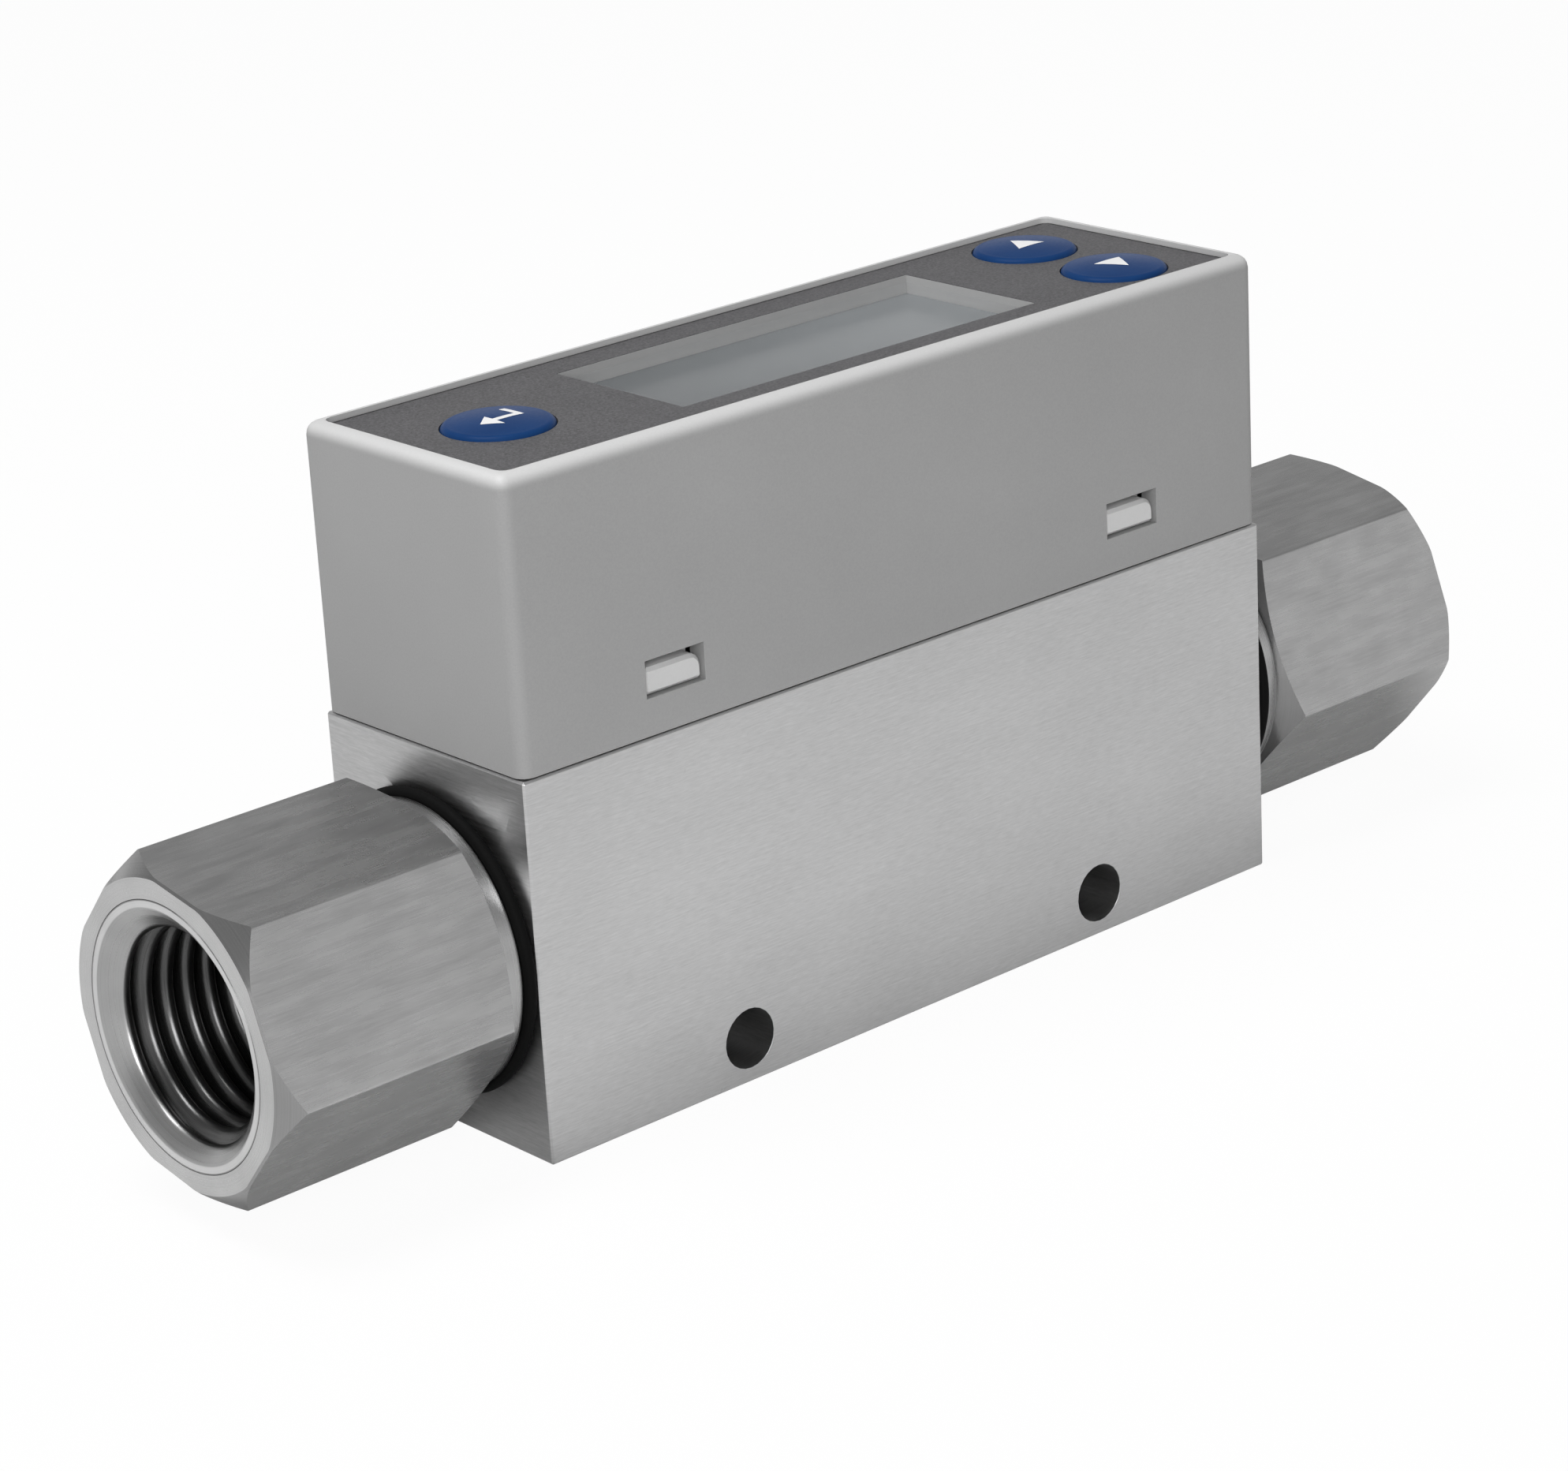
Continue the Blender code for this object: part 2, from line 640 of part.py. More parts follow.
def make_conditioning_stack(side, prefix):
    """Screen and spacer ring at each port; the inlet has the honeycomb straightener as well."""
    perforated_disc(
        prefix + "_screen", side, 0.0, SCREEN_THICKNESS, SCREEN_HOLE, SCREEN_PITCH, 4, MESH_METAL
    )
    ring_start = SCREEN_THICKNESS + FIT
    ring_length = RING_LENGTH
    if side > 0:
        ring_length += STRAIGHTENER_LENGTH + FIT
    outer = CONDITIONER_DIAMETER / 2
    inner = CHANNEL_DIAMETER / 2
    profile = [
        (outer, ring_length / 2),
        (outer, -ring_length / 2),
        (inner, -ring_length / 2),
        (inner, ring_length / 2),
    ]
    centre = stack_place(side, ring_start, ring_length)
    turned(prefix + "_spacer_ring", profile, centre, outwards(side), MESH_METAL, SMALL_SIDES)
    if side < 0:
        perforated_disc(
            "flow_straightener",
            side,
            ring_start + RING_LENGTH + FIT,
            STRAIGHTENER_LENGTH,
            STRAIGHTENER_CELL,
            STRAIGHTENER_PITCH,
            6,
            CARRIER_PLASTIC,
        )


def make_sensor():
    """The carrier with its nose in the gas, the chip, the seal and the small board on top."""
    carrier = span_box(
        "sensor_carrier",
        (-POCKET_LENGTH / 2 + FIT, POCKET_LENGTH / 2 - FIT),
        (-POCKET_WIDTH / 2 + FIT, POCKET_WIDTH / 2 - FIT),
        (CARRIER_BASE, CARRIER_TOP),
        CARRIER_PLASTIC,
        rounding=POCKET_CORNER_RADIUS,
        segments=2,
    )
    nose_end = CHANNEL_TOP
    nose_middle = (nose_end + CARRIER_TOP) / 2
    nose = cylinder("nose", NOSE_DIAMETER, CARRIER_TOP - nose_end - FIT, (0.0, 0.0, nose_middle))
    fuse(carrier, nose)
    chip_middle = (0.0, 0.0, nose_end - CHIP_SIZE[2] / 2 - FIT)
    box("sensor_chip", CHIP_SIZE, chip_middle, CHIP_BLACK)
    board = span_box(
        "sensor_board",
        (-POCKET_LENGTH / 2 + 2 * FIT, POCKET_LENGTH / 2 - 2 * FIT),
        (-POCKET_WIDTH / 2 + 4 * FIT, POCKET_WIDTH / 2 - 4 * FIT),
        (SENSOR_BOARD_BASE, SENSOR_BOARD_TOP),
        BOARD_GREEN,
    )
    seal_middle = (0.0, 0.0, POCKET_FLOOR - NOSE_SEAL_SECTION / 2)
    make_seal(
        "sensor_seal", NOSE_SEAL_DIAMETER, NOSE_SEAL_SECTION, seal_middle, UPRIGHT, SMALL_SIDES
    )
    for side in (-1, 1):
        x = side * CARRIER_SCREW_X
        label = "inlet_side" if side < 0 else "outlet_side"
        length = SENSOR_BOARD_TOP - CARRIER_BASE + 2 * OVERSHOOT
        middle = (x, 0.0, (SENSOR_BOARD_TOP + CARRIER_BASE) / 2)
        hole = cylinder("carrier_clear_" + label, SCREW_CLEAR_DIAMETER, length, middle, sides=SCREW_SIDES)
        cut(carrier, hole)
        cut(board, hole)
        make_screw("carrier_screw_" + label, x, SENSOR_BOARD_TOP, POCKET_FLOOR - carrier_screw_bite())


def make_screw(name, x, seat, tip):
    """A small socket-head screw standing at (x, 0), its head on the seat."""
    head = SCREW_HEAD_DIAMETER / 2
    shank = SCREW_DIAMETER / 2
    under = seat + FIT
    top = under + SCREW_HEAD_HEIGHT
    point = shank / 2
    profile = [
        (0.0, top),
        (head - point, top),
        (head, top - point),
        (head, under),
        (shank, under),
        (shank, tip + point),
        (point, tip),
        (0.0, tip),
    ]
    screw = turned(
        name, profile, (x, 0.0, 0.0), material=SCREW_STEEL, sides=SCREW_SIDES, closed=False
    )
    depth = SCREW_SOCKET_DEPTH + OVERSHOOT
    middle = (x, 0.0, top + OVERSHOOT - depth / 2)
    cut(screw, cylinder(name + "_socket", SCREW_SOCKET_DIAMETER, depth, middle, sides=6))
    return screw


def make_chassis():
    """The white frame on the block: board posts, battery ribs and the four snap latches."""
    chassis = span_box(
        "chassis",
        (-CHASSIS_LENGTH / 2, CHASSIS_LENGTH / 2),
        (-CHASSIS_WIDTH / 2, CHASSIS_WIDTH / 2),
        (CHASSIS_BASE, CHASSIS_TOP),
        CHASSIS_PLASTIC,
        rounding=COVER_CAVITY_RADIUS,
        segments=2,
    )
    opening = span_box(
        "sensor_opening",
        (-POCKET_LENGTH / 2, POCKET_LENGTH / 2),
        (-POCKET_WIDTH / 2, POCKET_WIDTH / 2),
        (CHASSIS_BASE - OVERSHOOT, CHASSIS_TOP + OVERSHOOT),
        rounding=POCKET_CORNER_RADIUS,
        segments=2,
    )
    cut(chassis, opening)
    for along in (-1, 1):
        for across in (-1, 1):
            fuse(chassis, board_post(along, across), *latch(along, across))
    fuse(chassis, *cell_supports())
    for side in (-1, 1):
        x = side * CHASSIS_SCREW_X
        label = "inlet_side" if side < 0 else "outlet_side"
        middle = (x, 0.0, (CHASSIS_BASE + CHASSIS_TOP) / 2)
        length = CHASSIS_THICKNESS + 2 * OVERSHOOT
        cut(
            chassis,
            cylinder("chassis_clear_" + label, SCREW_CLEAR_DIAMETER, length, middle, sides=SCREW_SIDES),
        )
        make_screw("chassis_screw_" + label, x, CHASSIS_TOP, BLOCK_HEIGHT - SCREW_BITE)
    return chassis


def side_label(along, across):
    """A corner's name: along is -1 at the inlet, across is -1 at the front."""
    return ("inlet" if along < 0 else "outlet") + ("_front" if across < 0 else "_back")


def limits(side, inner, outer):
    """Limits on the side's half of an axis, lowest first."""
    return tuple(sorted((side * inner, side * outer)))


def board_post(along, across):
    inset = COVER_CAVITY_RADIUS
    x_outer = CHASSIS_LENGTH / 2 - inset
    y_outer = CHASSIS_WIDTH / 2 - inset
    return span_box(
        "post_" + side_label(along, across),
        limits(along, x_outer - POST_SIZE, x_outer),
        limits(across, y_outer - POST_SIZE, y_outer),
        (CHASSIS_BASE + FIT, BOARD_BASE - FIT),
    )


def latch(along, across):
    """A springy arm on the chassis's long edge with a hook that fills the lower part of its window."""
    label = side_label(along, across)
    middle_x = along * LATCH_X
    hook_base = WINDOW_SILL_Z + FIT
    hook_top = hook_base + HOOK_HEIGHT
    hook_width = LATCH_WINDOW_WIDTH - 2 * FIT
    arm_outer = CHASSIS_WIDTH / 2
    hook_outer = BLOCK_WIDTH / 2 - HOOK_SUNK
    arm = span_box(
        "arm_" + label,
        (middle_x - ARM_WIDTH / 2, middle_x + ARM_WIDTH / 2),
        limits(across, arm_outer - ARM_THICKNESS, arm_outer),
        (CHASSIS_BASE + FIT, hook_top + ARM_ABOVE_HOOK),
    )
    hook = span_box(
        "hook_" + label,
        (middle_x - hook_width / 2, middle_x + hook_width / 2),
        limits(across, arm_outer - ARM_THICKNESS / 2, hook_outer),
        (hook_base, hook_top),
        rounding=HOOK_CORNER_RADIUS,
        segments=4,
        which=is_outlet_top,
    )
    soften(hook, HOOK_EDGE_BREAK)
    return arm, hook


def cell_supports():
    """Two cross ribs that carry the battery cell clear of the sensor's screws."""
    ribs = []
    first = POCKET_LENGTH / 2 + FIT
    last = CELL_END_X - CELL_RIB_THICKNESS
    for number, start in enumerate((first, last)):
        ribs.append(
            span_box(
                "cell_rib_%d" % (number + 1),
                (start, start + CELL_RIB_THICKNESS),
                (-CELL_WIDTH / 2, CELL_WIDTH / 2),
                (CHASSIS_BASE + FIT, CELL_BASE - FIT),
            )
        )
    return ribs


def make_battery_cell():
    span_box(
        "battery_cell",
        (CELL_START_X, CELL_END_X),
        (-CELL_WIDTH / 2, CELL_WIDTH / 2),
        (CELL_BASE, CELL_TOP),
        CELL_WRAP,
        rounding=CELL_ROUNDING,
        segments=3,
        which=lambda edge: True,
    )


def make_cover():
    """The moulded cover: a shell with a sunk deck, the key holes, the window and the latch windows."""
    cover = box(
        "cover",
        (BLOCK_LENGTH, BLOCK_WIDTH, COVER_TOP - COVER_BASE),
        (0.0, 0.0, COVER_CENTRE_Z),
        COVER_PLASTIC,
        rounding=COVER_EDGE_RADIUS,
        segments=4,
        which=lambda edge: is_upright(edge) or is_on_top(edge),
    )
    cavity = span_box(
        "cover_cavity",
        (-CAVITY_LENGTH / 2, CAVITY_LENGTH / 2),
        (-CAVITY_WIDTH / 2, CAVITY_WIDTH / 2),
        (COVER_BASE - OVERSHOOT, DECK_BASE),
        rounding=COVER_CAVITY_RADIUS,
        segments=2,
    )
    recess = box(
        "overlay_recess",
        (BLOCK_LENGTH - 2 * RIM_WIDTH, BLOCK_WIDTH - 2 * RIM_WIDTH, COVER_TOP - DECK_TOP + OVERSHOOT),
        (0.0, 0.0, (COVER_TOP + DECK_TOP + OVERSHOOT) / 2),
        rounding=OVERLAY_CORNER_RADIUS + FIT,
        segments=3,
    )
    rebate_z = (DECK_TOP - LENS_THICKNESS, COVER_TOP)
    rebate = window_block("lens_rebate", LENS_BORDER + FIT, rebate_z)
    window = window_block("deck_window", 0.0, (DECK_BASE - OVERSHOOT, COVER_TOP))
    cut(cover, cavity, recess, rebate, window)
    for name, spot in KEYS.items():
        cut(cover, key_hole(name + "_key_hole", spot))
    for along in (-1, 1):
        name = "latch_window_" + ("inlet" if along < 0 else "outlet")
        middle = (along * LATCH_X, 0.0, WINDOW_SILL_Z + LATCH_WINDOW_HEIGHT / 2)
        size = (LATCH_WINDOW_WIDTH, BLOCK_WIDTH + 2 * OVERSHOOT, LATCH_WINDOW_HEIGHT)
        cut(cover, box(name, size, middle))
    cut(cover, data_socket_opening())
    for along in (-1, 1):
        for across in (-1, 1):
            fuse(cover, board_clamp(along, across))
    return cover


def window_block(name, border, z, material=None):
    """A block the size of the display window with a border all round."""
    x = (MODE_KEY_X + WINDOW_TO_MODE_KEY, ARROW_KEY_X - WINDOW_TO_ARROW_KEYS)
    y = (WINDOW_SIDE_INSET - BLOCK_WIDTH / 2, BLOCK_WIDTH / 2 - WINDOW_SIDE_INSET)
    return span_box(name, widened(x, border), widened(y, border), z, material)


def key_hole(name, spot):
    length = COVER_TOP - DECK_BASE + 2 * OVERSHOOT
    middle = (*spot, (COVER_TOP + DECK_BASE) / 2)
    return cylinder(name, KEY_HOLE_DIAMETER, length, middle, sides=ROUND_SIDES)


def board_clamp(along, across):
    """A rib from the deck that holds a corner of the board down on its post."""
    x_outer = CHASSIS_LENGTH / 2 - COVER_CAVITY_RADIUS
    y_outer = CAVITY_WIDTH / 2 + FIT
    return span_box(
        "clamp_" + side_label(along, across),
        limits(along, x_outer - CLAMP_THICKNESS, x_outer),
        limits(across, y_outer - CLAMP_WIDTH, y_outer),
        (BOARD_TOP + FIT, DECK_BASE + FIT),
    )


def data_socket_limits():
    """The data and power socket's limits: it hangs under the board at the back."""
    length, depth, height = DATA_SOCKET_SIZE
    back = BLOCK_WIDTH / 2 - DATA_SOCKET_SUNK
    top = BOARD_BASE - FIT
    return (
        (DATA_SOCKET_X - length / 2, DATA_SOCKET_X + length / 2),
        (back - depth, back),
        (top - height, top),
    )


def data_socket_opening():
    x, _, z = data_socket_limits()
    y = (BLOCK_WIDTH / 2 - COVER_WALL - FIT, BLOCK_WIDTH / 2 + OVERSHOOT)
    return span_box("data_socket_opening", widened(x, 2 * FIT), y, widened(z, 2 * FIT))


def make_data_socket():
    """A small rectangular socket with its tongue, open at the back of the cover."""
    x, y, z = data_socket_limits()
    socket = span_box("data_socket", x, y, z, FRAME_STEEL)
    mouth = (y[1] - DATA_SOCKET_DEPTH, y[1] + OVERSHOOT)
    inside_x = widened(x, -DATA_SOCKET_WALL)
    inside_z = widened(z, -DATA_SOCKET_WALL)
    cut(socket, span_box("data_socket_mouth", inside_x, mouth, inside_z))
    tongue_x = widened(inside_x, -3 * DATA_SOCKET_WALL)
    tongue_y = (mouth[0] - FIT, y[1] - 2 * DATA_SOCKET_WALL)
    tongue_z = (sum(z) / 2 - DATA_SOCKET_WALL, sum(z) / 2 + DATA_SOCKET_WALL)
    fuse(socket, span_box("data_socket_tongue", tongue_x, tongue_y, tongue_z))
    return socket


def make_overlay():
    """The dark film in the cover's recess, cut out for the window and the keys."""
    overlay = box(
        "overlay",
        (BLOCK_LENGTH - 2 * RIM_WIDTH - 2 * FIT, BLOCK_WIDTH - 2 * RIM_WIDTH - 2 * FIT, OVERLAY_THICKNESS),
        (0.0, 0.0, OVERLAY_TOP - OVERLAY_THICKNESS / 2),
        OVERLAY_FILM,
        rounding=OVERLAY_CORNER_RADIUS,
        segments=3,
    )
    cut(overlay, window_block("overlay_window", 0.0, (DECK_BASE, COVER_TOP)))
    for name, spot in KEYS.items():
        cut(overlay, key_hole(name + "_overlay_hole", spot))
    return overlay


def make_window_lens():
    """The clear pane in the deck's rebate, held down by the overlay."""
    z = (DECK_TOP - LENS_THICKNESS + FIT, DECK_TOP)
    return window_block("window_lens", LENS_BORDER, z, LENS_PLASTIC)


def make_display():
    """Glass on its backlight, held together by a thin frame on the board."""
    glass_z = (GLASS_TOP - GLASS_THICKNESS, GLASS_TOP)
    window_block("display_glass", GLASS_BORDER, glass_z, GLASS_GREY)
    backlight_z = (BACKLIGHT_TOP - BACKLIGHT_THICKNESS, BACKLIGHT_TOP)
    window_block("backlight", GLASS_BORDER, backlight_z, LIGHT_GUIDE)
    frame_z = (BOARD_TOP + FIT, GLASS_TOP - FIT)
    inside = GLASS_BORDER + FIT
    frame = window_block("display_frame", inside + FRAME_WALL, frame_z, FRAME_STEEL)
    cut(frame, window_block("frame_inside", inside, widened(frame_z, OVERSHOOT)))


def make_main_board():
    board = box(
        "main_board",
        (BOARD_LENGTH, BOARD_WIDTH, BOARD_THICKNESS),
        (0.0, 0.0, (BOARD_TOP + BOARD_BASE) / 2),
        BOARD_GREEN,
        rounding=COVER_CAVITY_RADIUS,
        segments=2,
    )
    chip_middle = (CONTROL_CHIP_X, 0.0, CONTROL_CHIP_BASE + CONTROL_CHIP_SIZE[2] / 2)
    box("control_chip", CONTROL_CHIP_SIZE, chip_middle, CHIP_BLACK)
    return board


def make_board_link():
    """The pin strip that joins the sensor's board to the main board."""
    base_z = (SENSOR_BOARD_TOP + FIT, SENSOR_BOARD_TOP + FIT + LINK_BASE_HEIGHT)
    half = LINK_PINS * LINK_PITCH / 2
    link = span_box(
        "board_link",
        (LINK_X - LINK_BASE_WIDTH / 2, LINK_X + LINK_BASE_WIDTH / 2),
        (-half, half),
        base_z,
        CONTACT_METAL,
    )
    for number in range(LINK_PINS):
        y = (number - (LINK_PINS - 1) / 2) * LINK_PITCH
        bottom = base_z[0] + FIT
        top = BOARD_BASE - FIT
        size = (LINK_PIN, LINK_PIN, top - bottom)
        fuse(link, box("link_pin_%d" % (number + 1), size, (LINK_X, y, (top + bottom) / 2)))
    return link


def key_levels():
    """Heights that the key, its switch and its plunger share."""
    flange_top = DECK_BASE - FIT
    flange_base = flange_top - KEY_FLANGE_THICKNESS
    switch_base = BOARD_TOP + FIT
    switch_top = switch_base + SWITCH_HEIGHT
    return flange_top, flange_base, switch_base, switch_top


def make_key(name, spot):
    """A domed key cap that slides in the deck, held under it by its flange."""
    flange_top, flange_base, _, _ = key_levels()
    radius = KEY_DIAMETER / 2
    step_top = OVERLAY_TOP + KEY_STEP
    sphere = (radius**2 + KEY_DOME**2) / (2 * KEY_DOME)
    lean = math.asin(radius / sphere)
    leans = [lean * k / DOME_RINGS for k in range(DOME_RINGS + 1)]
    crown = step_top + KEY_DOME
    dome = [(sphere * math.sin(a), crown - sphere * (1 - math.cos(a))) for a in leans]
    profile = [*dome, (radius, flange_base + FIT), (0.0, flange_base + FIT)]
    key = turned(name + "_key", profile, (*spot, 0.0), material=KEY_PLASTIC, closed=False)
    flange = span_box(
        name + "_flange",
        widened((spot[0] - radius, spot[0] + radius), KEY_FLANGE_END_LIP),
        widened((spot[1] - radius, spot[1] + radius), KEY_FLANGE_SIDE_LIP),
        (flange_base, flange_top),
        rounding=KEY_FLANGE_CORNER_RADIUS,
        segments=2,
    )
    fuse(key, flange)
    return key


def make_key_switch(name, spot):
    """A push switch under the key, and the plunger that travels with the key."""
    _, flange_base, switch_base, switch_top = key_levels()
    switch = span_box(
        name + "_switch",
        (spot[0] - SWITCH_SIZE / 2, spot[0] + SWITCH_SIZE / 2),
        (spot[1] - SWITCH_SIZE / 2, spot[1] + SWITCH_SIZE / 2),
        (switch_base, switch_top),
        SWITCH_PLASTIC,
        rounding=SWITCH_CORNER_CUT,
        segments=1,
    )
    bore_depth = PLUNGER_SINK + KEY_TRAVEL + SLIDE_FIT
    bore = (switch_top - bore_depth, switch_top + OVERSHOOT)
    middle = (*spot, sum(bore) / 2)
    diameter = PLUNGER_DIAMETER + 2 * SLIDE_FIT
    cut(switch, cylinder(name + "_switch_bore", diameter, bore[1] - bore[0], middle))
    plunger = (switch_top - PLUNGER_SINK, flange_base - FIT)
    middle = (*spot, sum(plunger) / 2)
    cylinder(
        name + "_plunger",
        PLUNGER_DIAMETER,
        plunger[1] - plunger[0],
        middle,
        material=SWITCH_PLASTIC,
        sides=SMALL_SIDES,
    )
    return switch


def smooth_round_pieces():
    for obj in METER.objects:
        obj.data.shade_smooth()
        obj.data.set_sharp_from_angle(angle=math.radians(30.0))


make_flow_block()
for port, side in (("inlet", -1), ("outlet", 1)):
    make_fitting(port + "_fitting", side)
    ring_middle = Vector(end_face(side)) + Vector((side * SEAL_SPACE / 2, 0.0, 0.0))
    make_seal(
        port + "_seal", SEAL_OUTER_DIAMETER, seal_section(), ring_middle, outwards(side), SEAL_SIDES
    )
    make_conditioning_stack(side, port)
make_sensor()
make_chassis()
make_battery_cell()
make_main_board()
make_board_link()
make_data_socket()
make_display()
make_cover()
make_overlay()
make_window_lens()
for key_name, key_spot in KEYS.items():
    make_key(key_name, key_spot)
    make_key_switch(key_name, key_spot)
smooth_round_pieces()
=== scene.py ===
# %% [markdown]
# # Portable gas mass flow meter
#
# The meter is a bar of brushed aluminium with a hexagonal steel fitting screwed into each end. Gas runs
# through the bar from one fitting to the other. On top sits a grey moulded cover with a dark film, a
# sunken display and three blue push keys.
#
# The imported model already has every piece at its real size. This file dresses it: it replaces the pieces
# whose fine shape shows, gives each surface its finish, and sets up a plain studio. All lengths are in
# metres, X runs with the gas, and Z is up.

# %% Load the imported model
import json
import math

import bmesh
import bpy
from mathutils import Matrix, Vector


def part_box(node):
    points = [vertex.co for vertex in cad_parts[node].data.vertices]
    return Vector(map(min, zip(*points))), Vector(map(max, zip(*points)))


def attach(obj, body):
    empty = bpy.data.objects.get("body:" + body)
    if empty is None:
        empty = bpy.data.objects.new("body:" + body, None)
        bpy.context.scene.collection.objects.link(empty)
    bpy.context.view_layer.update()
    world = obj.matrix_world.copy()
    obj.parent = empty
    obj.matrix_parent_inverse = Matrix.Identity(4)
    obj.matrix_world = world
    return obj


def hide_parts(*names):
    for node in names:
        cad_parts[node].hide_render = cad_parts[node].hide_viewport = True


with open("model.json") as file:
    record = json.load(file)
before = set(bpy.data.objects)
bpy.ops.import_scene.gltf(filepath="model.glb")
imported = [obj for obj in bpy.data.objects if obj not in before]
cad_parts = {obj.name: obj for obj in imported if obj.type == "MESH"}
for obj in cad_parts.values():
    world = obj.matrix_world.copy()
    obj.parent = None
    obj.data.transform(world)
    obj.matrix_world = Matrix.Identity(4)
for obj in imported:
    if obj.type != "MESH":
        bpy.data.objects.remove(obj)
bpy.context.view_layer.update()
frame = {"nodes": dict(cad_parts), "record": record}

MM = 0.001

# %% [markdown]
# ## What the model tells us
#
# A new piece has to sit exactly where the old one was, so its sizes are read from the boxes of the packed
# pieces wherever they can be. The rest are the few shop sizes that a box doesn't give, such as the thread.

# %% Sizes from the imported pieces
fitting_low, fitting_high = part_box("inlet_fitting")
overlay_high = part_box("overlay")[1]
HALF_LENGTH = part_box("flow_block")[1].x
COVER_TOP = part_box("cover")[1].z
PORT_FACE = -fitting_low.x
AXIS_HEIGHT = (fitting_low.z + fitting_high.z) / 2
print("half length %.2f mm, port face %.2f mm, axis %.2f mm up"
      % (HALF_LENGTH / MM, PORT_FACE / MM, AXIS_HEIGHT / MM))

# %% Shop sizes of the fittings
HEX_FLATS = 17.0 * MM
HEX_LENGTH = 15.8 * MM
FRONT_CIRCLE = 8.6 * MM
REAR_CIRCLE = 7.55 * MM
COLLAR = 8.2 * MM
COLLAR_SPACE = 0.85 * MM
NECK = 7.3 * MM
NECK_GAP = 0.1 * MM
SPIGOT = 6.5 * MM
SOCKET_BORE = 7.0 * MM
SOCKET_FLARE = 0.5 * MM
REAR_SLOPE = math.tan(math.radians(30.0))
DRILL_SLOPE = 0.6
LEAST_CHAMFER = 0.12 * MM
CORNER_ROUNDING = 0.16 * MM
THREAD_MAJOR = 6.58 * MM
THREAD_MINOR = 5.74 * MM
THREAD_PITCH = 1.337 * MM
SINK_MOUTH = 7.45 * MM
SINK_STEP = 6.62 * MM
SINK_STEP_DEPTH = 0.55 * MM
SINK_SLOPE = 1.1
SINK_OVERLAP = 0.03 * MM
CHANNEL = 4.0 * MM
SEAL_SPACE = PORT_FACE - HALF_LENGTH - HEX_LENGTH
print("seal space %.2f mm" % (SEAL_SPACE / MM))

# %% [markdown]
# ## Writing materials as sums
#
# A finish such as brushed metal is a little arithmetic on noise: stretch it, squeeze it, add some to the
# colour and some to the roughness. Wiring that by hand hides the idea, so a small class wraps a socket
# and lets plain Python operators add the Math nodes. Any other node comes from one method.

# %% A socket that takes part in sums
class Signal:
    """A value that changes over the surface, from one socket of a material."""

    def __init__(self, finish, socket):
        self.finish = finish
        self.socket = socket

    def maths(self, operation, *values):
        node = self.finish.node("ShaderNodeMath", {"operation": operation}, dict(enumerate(values)))
        return Signal(self.finish, node.outputs[0])

    def __add__(self, other):
        return self.maths("ADD", self, other)

    __radd__ = __add__

    def __mul__(self, other):
        return self.maths("MULTIPLY", self, other)

    __rmul__ = __mul__

    def __sub__(self, other):
        return self.maths("SUBTRACT", self, other)

    def __rsub__(self, other):
        return self.maths("SUBTRACT", other, self)

    def __pow__(self, other):
        return self.maths("POWER", self, other)

    def __abs__(self):
        return self.maths("ABSOLUTE", self)

    def above(self, edge, softness):
        """0 below the edge and 1 above it, with a soft step between."""
        settings = {"interpolation_type": "SMOOTHSTEP"}
        sockets = {"Value": self, "From Min": edge - softness, "From Max": edge + softness}
        node = self.finish.node("ShaderNodeMapRange", settings, sockets)
        return Signal(self.finish, node.outputs["Result"])


